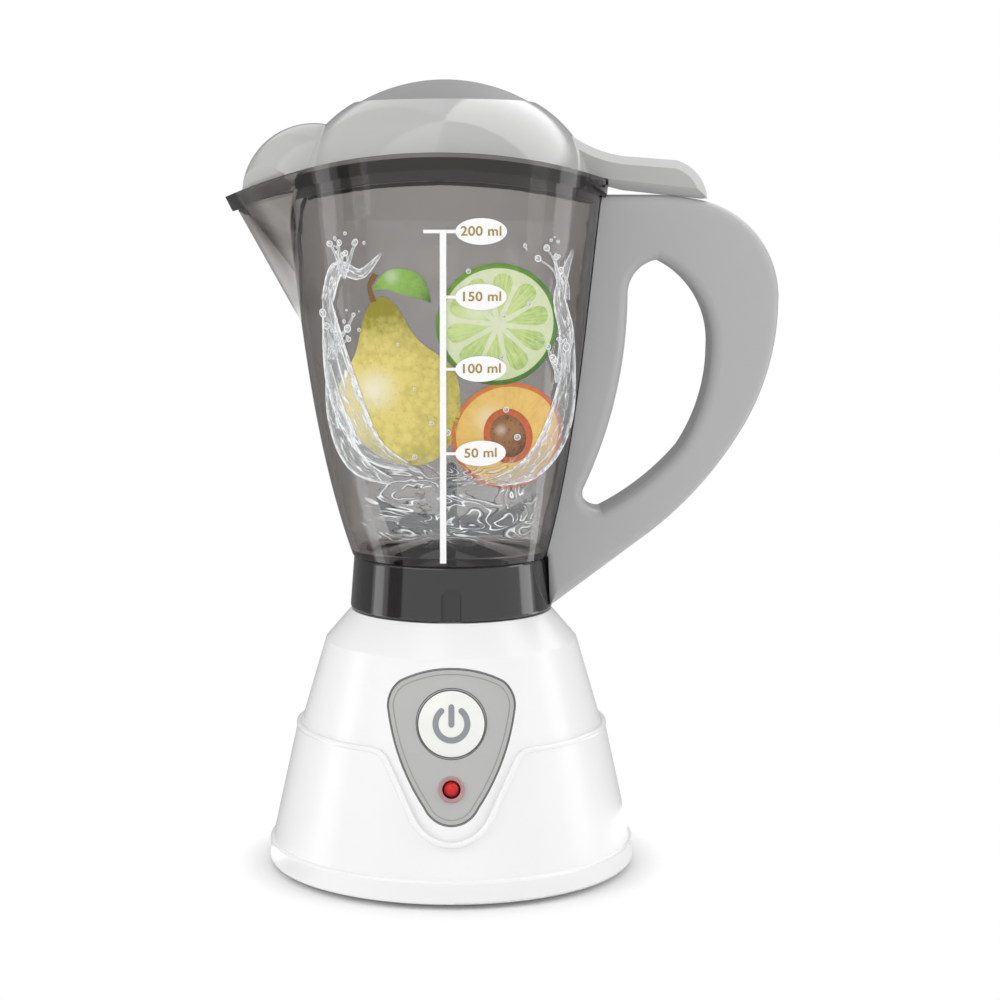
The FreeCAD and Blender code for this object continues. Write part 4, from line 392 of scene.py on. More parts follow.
def flowing(net):
    """Streaks that follow a strip, bright broken edges and thin ends."""
    along, across, _ = net.apart(net.place("UV"))
    x, _, z = net.apart(net.place())
    place = net.wire("CombineXYZ", x * 60.0 + along * 7.0, across * 5.0, z * 60.0)
    streaks = net.noise(place, 1.3, 5.0, 0.62, 0.9).step(0.5, 0.66) * 0.75
    rim = abs(across - 0.5).step(0.3, 0.47) * net.noise(place, 3.4, 4.0, 0.6, 0.6).step(0.36, 0.56)
    cover = (streaks.highest(rim) + 0.13) * along.step(0.0, 0.1) * along.step(1.0, 0.88)
    return cover.maths("MINIMUM", 1.0)


def beading(net):
    """Drop: bright rim, clear middle and a glint at the upper left."""
    along, across, _ = net.apart(net.place("UV"))
    rim = length(along - 0.5, across - 0.5).step(0.3, 0.44)
    return rim.highest(length(along - 0.38, across - 0.64).step(0.16, 0.06)) * 0.75 + 0.2


def rippling(name):
    """Water surface: light and dark lines that wind about each other, fading out upwards."""
    material, net = new_material(name)
    x, y, z = net.apart(net.place())
    wide = net.wire("CombineXYZ", x, y, z * 2.7)
    turns = (net.noise(wide, 62.0, 1.6, 0.45, 1.5) * 9.0).maths("FRACT")
    light = abs(turns - 0.5).step(0.14, 0.04)
    dark = abs(turns - 0.78).step(0.1, 0.02)
    lines = light.highest(dark * 0.7) * net.noise(wide, 150.0, 3.0).step(0.4, 0.56)
    fade = z.step(*RIPPLE_TOP) * z.step(*RIPPLE_FOOT) * abs(x).step(*RIPPLE_SIDE)
    net.surface(Base_Color=net.mixed(dark, "F4F7F8", "55585B"), Alpha=(lines * 0.85 + 0.1) * fade,
                Roughness=0.25)
    return material


# ------------------------------------------------------------------ modelling by hand
def alone(piece=None):
    """Back to object mode, with nothing but this piece selected."""
    if bpy.context.object and bpy.context.object.mode != "OBJECT":
        bpy.ops.object.mode_set(mode="OBJECT")
    bpy.ops.object.select_all(action="DESELECT")
    if piece:
        piece.select_set(True)
        bpy.context.view_layer.objects.active = piece
    return piece


def edit(piece):
    alone(piece)
    bpy.ops.object.mode_set(mode="EDIT")
    bpy.ops.mesh.select_all(action="SELECT")


def fix_place():
    """Puts the active piece's place, turn and size into its mesh."""
    bpy.ops.object.transform_apply(location=True, rotation=True, scale=True)


def flat(add, x, z, width, height, cuts, **shape):
    """Flat upright primitive in front of the jug, facing forwards; sizes in millimetres."""
    alone()
    middle = (x * MM, PRINT_START_Y * MM, z * MM)
    add(location=middle, rotation=(math.pi / 2, 0, 0), **shape)
    piece = bpy.context.object
    edit(piece)
    bpy.ops.transform.resize(value=(width, 1, height), center_override=middle)
    if cuts:
        bpy.ops.mesh.subdivide(number_cuts=cuts)
    return alone(piece)


def plate(x, z, width, height, cuts):
    return flat(bpy.ops.mesh.primitive_plane_add, x, z, width, height, cuts, size=MM)


def disc(x, z, width, height, corners, cuts, tilt=0.0):
    """Flat upright oval, cut into small faces so that it can follow a curved wall."""
    piece = flat(bpy.ops.mesh.primitive_circle_add, x, z, width, height, cuts,
                 vertices=corners, radius=MM / 2, fill_type="TRIFAN")
    if tilt:
        turn_flat(piece, x, z, tilt)
    return piece


def hoop(z, radius, width, corners):
    """Flat upright ring, one face wide; sizes in millimetres."""
    alone()
    bpy.ops.mesh.primitive_circle_add(vertices=corners, radius=radius * MM, fill_type="NGON",
                                      location=(0, PRINT_START_Y * MM, z * MM), rotation=(math.pi / 2, 0, 0))
    piece = bpy.context.object
    edit(piece)
    bpy.ops.mesh.inset(thickness=width * MM, use_even_offset=True)
    bpy.ops.mesh.delete(type="FACE")
    return alone(piece)


def turn_flat(piece, x, z, degrees):
    """Turns a flat upright piece anticlockwise, seen from the front, about (x, z)."""
    fix_place()
    middle = Vector((x * MM, PRINT_START_Y * MM, z * MM))
    turn = Matrix.Rotation(-math.radians(degrees), 4, "Y")
    piece.data.transform(Matrix.Translation(middle) @ turn @ Matrix.Translation(-middle))


def reshape(piece, change):
    """Moves each point of a flat upright piece; change takes and gives x and z in millimetres."""
    alone(piece)
    fix_place()
    for point in piece.data.vertices:
        x, z = change(point.co.x / MM, point.co.z / MM)
        point.co.x, point.co.z = x * MM, z * MM
    piece.data.update()


def ribbon(path, widths, steps):
    """Flat upright strip along a smooth path of (x, z), as wide as widths say from end to end."""
    alone()
    bpy.ops.mesh.primitive_grid_add(x_subdivisions=steps, y_subdivisions=4, size=2.0,
                                    rotation=(math.pi / 2, 0, 0))
    piece = bpy.context.object
    fix_place()

    def along(values, share):
        """Catmull-Rom curve through the values."""
        spot = share * (len(values) - 1)
        index = min(int(spot), len(values) - 2)
        t = spot - index
        four = [values[max(0, min(len(values) - 1, index + k))] for k in (-1, 0, 1, 2)]
        return 0.5 * (2 * four[1] + (four[2] - four[0]) * t
                      + (2 * four[0] - 5 * four[1] + 4 * four[2] - four[3]) * t * t
                      + (3 * four[1] - four[0] - 3 * four[2] + four[3]) * t ** 3)

    xs, zs = zip(*path)

    def change(x, z):
        share = min(1.0, max(0.0, (x * MM + 1) / 2))
        near = min(0.999, share)
        dx = along(xs, near + 0.001) - along(xs, near)
        dz = along(zs, near + 0.001) - along(zs, near)
        size = math.hypot(dx, dz) or 1.0
        half = z * MM * along(widths, share) / 2
        return along(xs, share) - dz / size * half, along(zs, share) + dx / size * half

    reshape(piece, change)
    for point in piece.data.vertices:
        point.co.y = PRINT_START_Y * MM
    return piece


def letters(words, x, z):
    """Flat upright words, centred on (x, z), as a mesh."""
    alone()
    bpy.ops.object.text_add(location=(0, 0, 0))
    piece = bpy.context.object
    piece.data.body = words
    piece.data.align_x, piece.data.align_y = "CENTER", "CENTER"
    piece.data.size = LETTER_HEIGHT * MM
    piece.data.offset = LETTER_WEIGHT * MM
    piece.data.space_character = LETTER_SPACE
    bpy.ops.object.convert(target="MESH")
    piece = bpy.context.object
    upright = Matrix.Translation((x * MM, PRINT_START_Y * MM, z * MM)) @ Matrix.Rotation(math.pi / 2, 4, "X")
    piece.data.transform(upright @ Matrix.Diagonal((LETTER_WIDTH, 1, 1, 1)))
    piece.matrix_world = Matrix.Identity(4)
    return piece


def joined(pieces):
    """One piece of several."""
    alone(pieces[0])
    for piece in pieces:
        piece.select_set(True)
    bpy.ops.object.join()
    return alone(bpy.context.object)


def modify(piece, kind, **values):
    """Puts a modifier on a piece and applies it."""
    made = piece.modifiers.new(kind, kind)
    for key, value in values.items():
        setattr(made, key, value)
    bpy.ops.object.modifier_apply(modifier=kind)


def lay_on(piece, node, proud, thickness):
    """Lays a flat upright piece straight back onto a CAD node's outer face and gives it a thickness."""
    alone(piece)
    fix_place()
    modify(piece, "SHRINKWRAP", target=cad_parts[node], wrap_method="PROJECT", use_project_y=True,
           use_positive_direction=True, use_negative_direction=False, wrap_mode="ABOVE_SURFACE", offset=proud)
    missed = [p for p in piece.data.vertices if p.co.y < (PRINT_START_Y + 1) * MM]
    if missed:
        raise RuntimeError("%s reaches past %s: %d points" % (piece.name, node, len(missed)))
    edit(piece)
    bpy.ops.mesh.normals_make_consistent(inside=False)
    alone(piece)
    if sum(face.normal.y * face.area for face in piece.data.polygons) > 0:
        piece.data.flip_normals()
    modify(piece, "SOLIDIFY", thickness=thickness, offset=1.0)
    return piece


def settle(piece, name, material, body):
    """Names a finished piece, gives it its finish, and lets it ride on a body."""
    piece.name = piece.data.name = name
    piece.data.materials.clear()
    piece.data.materials.append(material)
    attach(piece, body)
    alone()


def dress(material, *nodes):
    """Gives CAD nodes their finish."""
    for node in nodes:
        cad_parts[node].material_slots[0].material = material


# ------------------------------------------------------------------ operators, one for each group of pieces
class TOYBLENDER_OT_base(bpy.types.Operator):
    """Finish the base's white shells, its plate and door, and its rubber feet and screws"""
    bl_idname = "toy_blender.base"
    bl_label = "Base Shells"

    def execute(self, context):
        shell = context.scene.toy_blender.shell_colour
        dress(moulded("shell_gloss_white", shell, 0.22, 0.012, 0.04, 1500.0, 0.01, 0.04),
              "lower_shell", "upper_shell")
        dress(moulded("plate_white", shell, 0.42, 0.02, 0.06, 1500.0, 0.08, 0.04),
              "base_plate", "battery_door")
        dress(moulded("foot_rubber_grey", "6A6A6C", 0.7, 0.06, 0.08, 2600.0, 0.25, 0.02),
              "foot_front_right", "foot_back_right", "foot_back_left", "foot_front_left")
        dress(metal("screw_zinc", "B9BBBE", 0.28), "base_screws", "battery_door_screw", "board_screws",
              "carrier_screws", "handle_screws")
        return {"FINISHED"}


class TOYBLENDER_OT_seam_lip(bpy.types.Operator):
    """Roll a rounded lip along the lower shell's upper edge, down round the panel and up again"""
    bl_idname = "toy_blender.seam_lip"
    bl_label = "Seam Lip"

    def execute(self, context):
        alone()
        bpy.ops.curve.primitive_nurbs_circle_add(radius=SEAM_RADIUS * MM, location=(0, 0, 0))
        lip = bpy.context.object
        lip.data.splines.clear()
        line = lip.data.splines.new("NURBS")
        path = seam_path()
        line.points.add(len(path) - 1)
        for point, (x, y, z) in zip(line.points, path):
            point.co = (x * MM, y * MM, z * MM, 1.0)
        line.use_cyclic_u = True
        line.order_u = 3
        line.resolution_u = 4
        lip.data.dimensions = "3D"
        lip.data.bevel_depth = context.scene.toy_blender.lip_radius
        lip.data.bevel_resolution = 3
        bpy.ops.object.convert(target="MESH")
        lip = bpy.context.object
        fix_place()
        bpy.ops.object.shade_smooth()
        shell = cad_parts["lower_shell"].material_slots[0].material
        settle(lip, "seam_lip", shell, "base")
        return {"FINISHED"}


def shell_radius(z):
    """Outer radius of the lower shell's cone at a height, in millimetres."""
    return FOOT_RADIUS + (SEAM_RADIUS - FOOT_RADIUS) * (z - FOOT_Z) / (SEAM_Z - FOOT_Z)


def seam_path():
    """Points along the lower shell's upper edge, anticlockwise from the notch's left corner."""
    middle = NOTCH_LOW + NOTCH_RADIUS
    knee = math.asin(NOTCH_KNEE / NOTCH_RADIUS)
    knee_z = middle - NOTCH_RADIUS * math.cos(knee)
    shares = [(step + 0.35) / 6 for step in range(6)]
    slope = [(-NOTCH_HALF + (NOTCH_HALF - NOTCH_KNEE) * share, SEAM_Z + (knee_z - SEAM_Z) * share)
             for share in shares]
    angles = [knee * (step / 6 - 1) for step in range(13)]
    curve = [(NOTCH_RADIUS * math.sin(angle), middle - NOTCH_RADIUS * math.cos(angle)) for angle in angles]
    points = []
    for x, z in slope + curve + [(-x, z) for x, z in reversed(slope)]:
        x -= math.copysign(min(LIP_INSET, abs(x)), x)
        radius = shell_radius(z) - LIP_SINK
        points.append((x, -math.sqrt(radius ** 2 - x ** 2), z))
    radius = SEAM_RADIUS - LIP_SINK
    start = math.asin((NOTCH_HALF + LIP_CORNER) / SEAM_RADIUS)
    for step in range(73):
        turn = start + (2 * math.pi - 2 * start) * step / 72
        points.append((radius * math.sin(turn), -radius * math.cos(turn), SEAM_Z))
    return points


class TOYBLENDER_OT_works(bpy.types.Operator):
    """Finish the batteries, contacts, motor, gears, shafts, couplings and circuit board inside the base"""
    bl_idname = "toy_blender.works"
    bl_label = "Motor and Batteries"

    def execute(self, context):
        dress(moulded("cell_jacket_film", "3E6F8F", 0.25, 0.04, 0.04, 900.0, 0.02, 0.02, 0.4),
              "battery_cell_1", "battery_cell_2")
        dress(metal("contact_nickel", "C9C6BE", 0.22), "contact_right", "contact_left")
        dress(moulded("switch_black_plastic", "26262A", 0.38, 0.05, 0.06, 2000.0, 0.06),
              "tact_switch", "switch_plunger", "motor_end_cap")
        dress(moulded("board_lacquer", "2F6B45", 0.3, 0.08, 0.06, 1200.0, 0.06, 0.02, 0.3), "circuit_board")
        dress(metal("motor_zinc", "A7A9AC", 0.3, 1600.0, 0.06), "motor_can")
        dress(metal("shaft_steel_ground", "C3C5C8", 0.16, 3000.0, 0.04),
              "motor_shaft", "drive_shaft", "blade_shaft")
        dress(metal("bush_bronze", "B08A4E", 0.34, 2600.0, 0.08),
              "shaft_bushes", "blade_bush", "motor_pinion")
        dress(moulded("carrier_grey_plastic", "8F9194", 0.44, 0.04, 0.07, 1800.0, 0.1), "gear_carrier")
        dress(moulded("gear_acetal", "E6E4DC", 0.4, 0.03, 0.06, 1800.0, 0.06), "drive_gear")
        dress(moulded("coupling_nylon", "5B5C60", 0.42, 0.04, 0.07, 1800.0, 0.08),
              "drive_coupling", "driven_coupling")
        return {"FINISHED"}


class TOYBLENDER_OT_panel(bpy.types.Operator):
    """Finish the control panel, its push button and its red lamp"""
    bl_idname = "toy_blender.panel"
    bl_label = "Control Panel"

    def execute(self, context):
        given = context.scene.toy_blender
        dress(moulded("panel_satin", given.panel_colour, 0.34, 0.015, 0.05, 2200.0, 0.06), "control_panel")
        dress(moulded("button_gloss", given.button_colour, 0.16, 0.01, 0.03, 1500.0, 0.01, 0.02, 0.3),
              "power_button")
        dress(moulded("lamp_ring_satin", "B2898A", 0.3, 0.03, 0.05, 2000.0, 0.03), "lamp_ring")
        dress(painted_lamp_lens(), "indicator_lamp")
        return {"FINISHED"}


def painted_lamp_lens():
    """Deep red lens with painted light: its colour is painted brighter in the core and darker towards the
    rim, and the core glows faintly.
    """
    material = moulded("lamp_red_lens_painted_shade", "CC1010", 0.3, 0.05, 0.03, 1200.0, 0.0, 0.02)
    net = Net(material.node_tree)
    x, _, z = net.apart(net.place())
    # painted shade: the lens colour darkens from the core out to the rim, and the core's faint glow fades the
    # same way
    rim = length(x, z - LAMP_Z).step(*LAMP_PAINTED_RIM_SHADE)
    net.surface(Base_Color=net.mixed(rim, "D41010", "700A0E"), Emission_Color="E01010",
                Emission_Strength=rim * -0.08 + 0.08)
    return material


class TOYBLENDER_OT_panel_lines(bpy.types.Operator):
    """Draw painted shade: a dark line for the shadow in the joint round the panel, a fainter line for the
    shade of the fine groove inside it, and a dark line for the shadow in the joint round the button
    """
    bl_idname = "toy_blender.panel_lines"
    bl_label = "Panel Joint Shadows"

    def execute(self, context):
        outline = panel_outline(180)
        # painted shadow: dark and soft inks laid on the panel for the shade in the joints and the groove
        dark = ink("joint_shadow_ink", "4C4C4B", speckle=0.0, gloss=0.5)
        soft = ink("groove_shadow_ink", "969695", speckle=0.0, gloss=0.4)
        turns = [2 * math.pi * step / 120 for step in range(120)]
        upright = BUTTON_RADIUS * math.cos(PANEL_TILT)
        around = [(BUTTON_RADIUS * math.sin(turn), BUTTON_Z + upright * math.cos(turn)) for turn in turns]
        for name, line, (inset, width), finish in (("panel_joint_painted_shadow", outline, PANEL_JOINT_SHADOW, dark),
                                                   ("panel_groove_painted_shade", outline, PANEL_GROOVE_SHADE, soft),
                                                   ("button_joint_painted_shadow", around, BUTTON_JOINT_SHADOW, dark)):
            piece = lay_on(band(line, inset, width), "control_panel", LINE_PROUD, LINE_PROUD)
            settle(piece, name, finish, "base")
        return {"FINISHED"}


def panel_outline(count):
    """Evenly spaced points of the panel's outline, clockwise from the middle of its top."""
    dense = []
    for (x0, z0, _), (x1, z1, radius) in zip(PANEL_CORNERS, PANEL_CORNERS[1:] + PANEL_CORNERS[:1]):
        start, end = Vector((x0, z0)), Vector((x1, z1))
        middle, chord = (start + end) / 2, end - start
        inwards = Vector((chord.y, -chord.x)).normalized()
        centre = middle + inwards * math.sqrt(radius ** 2 - chord.length_squared / 4)
        first = start - centre
        sweep = first.angle_signed(end - centre)
        dense += [centre + Matrix.Rotation(-sweep * step / 60, 2) @ first for step in range(60)]
    top = max(range(len(dense)), key=lambda index: dense[index].y)
    dense = dense[top:] + dense[:top + 1]
    runs = [0.0, *itertools.accumulate((end - start).length for start, end in zip(dense, dense[1:]))]
    spots = []
    for number in range(count):
        goal = runs[-1] * number / count
        index = bisect.bisect_right(runs, goal) - 1
        share = (goal - runs[index]) / (runs[index + 1] - runs[index])
        spots.append(dense[index].lerp(dense[index + 1], share))
    return spots


def band(outline, inset, width):
    """Flat upright closed strip inside a clockwise outline that starts at its top."""
    count = len(outline)
    piece = hoop(0, 1.0, 0.5, count)

    def change(x, z):
        number = round(math.atan2(x, z) / (2 * math.pi) * count) % count
        deep = inset if math.hypot(x, z) > 0.75 else inset + width
        before, here, after = (Vector(outline[(number + k) % count]) for k in (-1, 0, 1))
        along = (after - before).normalized()
        return here.x + along.y * deep, here.y - along.x * deep

    reshape(piece, change)
    return piece


class TOYBLENDER_OT_power_symbol(bpy.types.Operator):
    """Print the power symbol on the push button: an open ring and an upright bar"""
    bl_idname = "toy_blender.power_symbol"
    bl_label = "Power Symbol"

    def execute(self, context):
        given = context.scene.toy_blender
        outer, line, gap = given.symbol_radius / MM, given.symbol_line / MM, given.symbol_gap
        middle, z = outer - line / 2, BUTTON_Z + SYMBOL_RISE
        ring = hoop(z, outer, line, 120)
        fix_place()
        edit(ring)
        bpy.ops.mesh.select_mode(type="FACE")
        bpy.ops.mesh.select_all(action="DESELECT")
        bpy.ops.object.mode_set(mode="OBJECT")
        for face in ring.data.polygons:
            face.select = abs(math.atan2(face.center.x, face.center.z - z * MM)) < gap
        bpy.ops.object.mode_set(mode="EDIT")
        bpy.ops.mesh.delete(type="FACE")
        low, high = BUTTON_Z, z + outer - SYMBOL_BAR_TOP
        side, top = middle * math.sin(gap), z + middle * math.cos(gap)
        parts = [alone(ring)] + [disc(*spot, line, line, 24, 0) for spot in ((-side, top), (side, top))]
        parts.append(plate(0, (low + high) / 2, line, high - low, 4))
        parts += [disc(0, spot, line, line, 24, 0) for spot in (low, high)]
        symbol = lay_on(joined(parts), "power_button", LINE_PROUD, 0.00003)
        settle(symbol, "power_symbol", ink("symbol_ink", given.symbol_colour), "button")
        return {"FINISHED"}


class TOYBLENDER_OT_jug(bpy.types.Operator):
    """Finish the smoked jug, its collar, floor and seal, and the clear film on its front"""
    bl_idname = "toy_blender.jug"
    bl_label = "Jug"

    def execute(self, context):
        given = context.scene.toy_blender
        dress(smoked("jug_smoked", given.jug_tint, (0.09, 0.035, 0.0), given.jug_smoke), "jug_body")
        dress(moulded("collar_gloss", given.collar_colour, 0.08, 0.04, 0.03, 900.0, 0.0, 0.02, 0.6),
              "jug_collar", "jug_floor")
        dress(moulded("seal_silicone", "C7C7C4", 0.6, 0.04, 0.06, 2400.0, 0.2, 0.03), "floor_seal")
        dress(clear_film("film_clear_sheet"), "picture_film")
        return {"FINISHED"}


class TOYBLENDER_OT_scale(bpy.types.Operator):
    """Print the filling scale on the jug: a white line with a crossbar, ticks and oval labels"""
    bl_idname = "toy_blender.scale"
    bl_label = "Filling Scale"

    def execute(self, context):
        given = context.scene.toy_blender
        line = given.scale_line / MM
        white = ink("scale_white_ink", "FBFBFA", speckle=0.0, gloss=0.28)
        ochre = ink("label_ochre_ink", "A98E45", speckle=0.1, speckle_scale=1500.0)
        low, high = SCALE_LINE_LOW, SCALE_LINE_HIGH
        left, right = SCALE_CROSSBAR
        strokes = [plate(SCALE_LINE_X, (low + high) / 2, line, high - low, 30),
                   plate((left + right) / 2, high, right - left, SCALE_CROSSBAR_WIDTH, 8)]
        ovals, figures = [], []
        for z, words in SCALE_LABELS:
            strokes.append(plate((SCALE_LINE_X + SCALE_TICK_END) / 2, z, SCALE_TICK_END - SCALE_LINE_X,
                                 SCALE_TICK_WIDTH, 6))
            ovals.append(disc(SCALE_LABEL_X, z, given.label_width / MM, given.label_height / MM, 64, 3))
            figures.append(letters(words, SCALE_LABEL_X, z))
        for pieces, name, finish, layer in ((strokes, "scale_line", white, 0),
                                            (ovals, "scale_labels", white, 1),
                                            (figures, "scale_numbers", ochre, 2.5)):
            printed = lay_on(joined(pieces), "jug_body", given.print_proud + layer * given.print_thickness,
                             given.print_thickness)
            settle(printed, name, finish, "jug")
        return {"FINISHED"}


class TOYBLENDER_OT_picture(bpy.types.Operator):
    """Print a plain fruit picture on the jug: a pear, a lime wheel, half a peach and swirls of water"""
    bl_idname = "toy_blender.picture"
    bl_label = "Fruit Picture"

    def execute(self, context):
        print_peach(13.0, 108.5, 13.0)
        print_pear(-13.0, 121.0)
        print_lime(10.5, 134.5, 14.0)
        print_water()
        return {"FINISHED"}


def put(piece, name, material, layer):
    """Prints a piece on the jug as one layer of the picture."""
    given = bpy.context.scene.toy_blender
    thick = given.print_thickness
    lay_on(piece, "jug_body", given.print_proud - PICTURE_SINK + layer * PICTURE_STEP * thick, thick)
    settle(piece, name, material, "jug")


# the fruit's inks: light and dark colour, speckle, its scale, streak, rim, lean, mottle, shine and cover
FRUIT_INKS = {
    "peach_skin": ("E9A24A", "C9603C", 0.08, 700.0, 0.1, 0.9, 0.3, 0.5, 0.0, 0.86),
    "peach_flesh": ("F0CB72", "D98E48", 0.05, 900.0, 0.9, 0.3, 0.2, 0.5, 0.35, 0.86),
    "peach_core": ("CC6A3C", "96402A", 0.1, 900.0, 1.2, 0.4, 0.0, 0.4),
    "peach_stone": ("9C7048", "553420", 0.7, 1300.0, 0.3, 0.5, 0.3, 0.9, 0.3),
    "pear_skin": ("E8D87E", "98902E", 0.25, 1100.0, 0.0, 0.5, 0.5, 0.9, 0.55, 0.88),
    "pear_stalk": ("7A5A2E", "4E3618", 0.2, 1500.0),
    "pear_leaf": ("94BE5C", "47752F", 0.15, 1200.0, 0.8, 0.5, 0.3, 0.5, 0.3, 0.88),
    "lime_rind": ("96BE48", "43782C", 0.25, 1300.0, 0.1, 0.8, 0.3, 0.5, 0.0, 0.86),
    "lime_pith": ("E9EFCF", "C6D79A", 0.05, 900.0, 0.2, 0.5, 0.2, 0.5, 0.0, 0.84),
    "lime_segments": ("D3E59A", "7FAE42", 0.1, 900.0, 1.7, 0.5, 0.3, 0.6, 0.5, 0.86),
}


def put_fruit(piece, name, layer, middle, reach):
    """Prints a piece in its own ink, which shades about a middle."""
    light, dark, *look = FRUIT_INKS[name]
    put(piece, name, ink(name + "_ink", light, dark, middle, reach, *look), layer)


def print_peach(x, z, radius):
    layers = (("peach_skin", 2.0, 1.94, 72, 9, 0, 1.0), ("peach_flesh", 1.84, 1.78, 72, 9, 0, 1.0),
              ("peach_core", 0.86, 1.02, 48, 4, 20, 0.5), ("peach_stone", 0.62, 0.8, 48, 4, 20, 0.36))
    for layer, (name, width, height, *cut, reach) in enumerate(layers):
        put_fruit(disc(x, z, width * radius, height * radius, *cut), name, layer, (x, z), reach * radius)


def print_pear(x, z):
    def pear(px, pz):
        up = (pz - z) / 20.0
        narrow = 1.0 - 0.52 / (1.0 + math.exp(-(up - 0.25) * 9.0))
        return x + (px - x) * narrow + 1.5 * up * up, pz

    body = disc(x, z, 29.0, 40.0, 72, 11)
    reshape(body, pear)
    turn_flat(body, x, z, 14)
    put_fruit(body, "pear_skin", 0, (x + 1, z - 7), 17.0)
    stem = [(x - 4.6, z + 18.6), (x - 5.6, z + 22.0), (x - 4.2, z + 25.0)]
    put_fruit(ribbon(stem, [1.4, 1.0, 1.5], 16), "pear_stalk", 1, (x - 5, z + 22), 4.0)
    vein = [(x - 4.8, z + 21.5), (x - 0.5, z + 23.6), (x + 4.6, z + 22.4), (x + 8.4, z + 18.6)]
    put_fruit(ribbon(vein, [0.3, 4.8, 5.4, 0.2], 30), "pear_leaf", 2, (x + 1.5, z + 22.5), 6.5)


def print_lime(x, z, radius):
    put_fruit(disc(x, z, 2 * radius, 2 * radius, 72, 9), "lime_rind", 1, (x, z), radius)
    put_fruit(disc(x, z, 1.84 * radius, 1.84 * radius, 72, 9), "lime_pith", 2, (x, z), radius)
    wedges = []
    count = 10
    half = math.pi / count
    for number in range(count):
        angle = number * 2 * half + 0.2
        east, north = math.cos(angle), math.sin(angle)
        middle_x, middle_z = x + 0.48 * radius * east, z + 0.48 * radius * north

        def segment(px, pz):
            a, b = px - middle_x, pz - middle_z
            out, side = a * east + b * north, b * east - a * north
            reach = radius * (0.47 + 0.37 * out)
            wide = (reach * math.tan(half) - 0.5) * side * (1.0 if out < 0.4 else 1.0 + 0.25 * (out - 0.4))
            return x + reach * east - wide * north, z + reach * north + wide * east

        wedges.append(disc(middle_x, middle_z, 2.0, 2.0, 24, 5))
        reshape(wedges[-1], segment)
    put_fruit(joined(wedges), "lime_segments", 3, (x, z), radius)


def inside(x, z, top):
    """Keeps what is thrown up on the jug's front."""
    return max(SPLASH_LEFT, min(SPLASH_RIGHT, x)), min(top, z)


def print_water():
    """Two splashes that rise beside the fruit, strands and drops thrown off them, and ripples."""
    draw = random.Random(23)
    sheets = [
        ribbon([(-9.0, 101.0), (-19.0, 106.0), (-25.5, 121.0), (-29.0, 143.0)], [1.5, 6.5, 7.5, 1.2], 60),
        ribbon([(-13.0, 97.5), (-22.0, 101.5), (-26.5, 112.0), (-28.6, 126.0)], [1.5, 5.0, 5.0, 0.8], 50),
        ribbon([(-28.6, 139.0), (-26.0, 147.0), (-20.5, 146.0), (-15.5, 151.0)], [3.0, 3.4, 2.4, 0.5], 50),
        ribbon([(9.0, 97.5), (19.0, 101.0), (25.5, 112.0), (28.0, 133.0)], [1.5, 6.0, 6.5, 1.0], 60),
        ribbon([(24.0, 120.0), (26.5, 131.0), (24.8, 141.0), (28.0, 152.0)], [1.2, 3.6, 3.0, 0.5], 50),
    ]
    strands, drops = [], []
    for x, z, side, count in ((-27.0, 128.0, -1, 6), (-24.0, 146.5, -1, 5), (26.0, 122.0, 1, 6),
                              (26.0, 142.0, 1, 4)):
        for _ in range(count):
            lean = draw.uniform(-0.5, 0.75) * -side
            rise = draw.uniform(4.0, 9.5)
            bow = draw.uniform(-1.4, 1.4)
            foot_x, foot_z = x + draw.uniform(-1.5, 1.5), z + draw.uniform(-3.0, 1.0)
            ends = [inside(foot_x, foot_z, STRAND_TOP),
                    inside(foot_x + lean * rise * 0.5 + bow, foot_z + rise * 0.6, STRAND_TOP),
                    inside(foot_x + lean * rise, foot_z + rise, STRAND_TOP)]
            strands.append(ribbon(ends, [draw.uniform(1.0, 1.9), draw.uniform(0.5, 0.9), 0.45], 24))
            size = draw.uniform(0.8, 1.7)
            drops.append(disc(*ends[-1], size, size * draw.uniform(1.0, 1.35), 24, 1, lean * -40))
            for _ in range(2):
                size = draw.uniform(0.35, 0.9)
                spot = inside(ends[-1][0] + draw.uniform(-3.0, 3.0), ends[-1][1] + draw.uniform(-1.5, 4.0),
                              DROP_TOP)
                drops.append(disc(*spot, size, size * draw.uniform(1.0, 1.3), 16, 1))
    for _ in range(14):
        size = draw.uniform(0.6, 1.6)
        drops.append(disc(draw.uniform(-17.0, 18.0), draw.uniform(102.0, 150.0), size, size, 24, 1))
    pool = ribbon([(-22.5, 93.5), (-7.5, 93.5), (7.5, 93.5), (22.5, 93.5)], [24.0] * 4, 60)
    flow = white_water("water_flow_ink", flowing)
    put(pool, "water_ripples", rippling("water_ripple_ink"), 4)
    put(joined(sheets), "water_sheets", flow, 5)
    put(joined(strands), "water_strands", flow, 6)
    put(joined(drops), "water_drops", white_water("water_bead_ink", beading), 7)


class TOYBLENDER_OT_blades(bpy.types.Operator):
    """Finish the blade unit that turns inside the jug"""
    bl_idname = "toy_blender.blades"
    bl_label = "Blades"

    def execute(self, context):
        dress(moulded("blade_plastic", "4A4A4C", 0.3, 0.05, 0.06, 1800.0, 0.05, 0.05, 0.2), "blade")
        return {"FINISHED"}


class TOYBLENDER_OT_handle(bpy.types.Operator):
    """Finish the two halves of the jug's handle"""
    bl_idname = "toy_blender.handle"
    bl_label = "Handle"

    def execute(self, context):
        colour = context.scene.toy_blender.handle_colour
        dress(moulded("handle_satin", colour, 0.36, 0.015, 0.05, 2200.0, 0.06, 0.05),
              "handle_front", "handle_back")
        return {"FINISHED"}


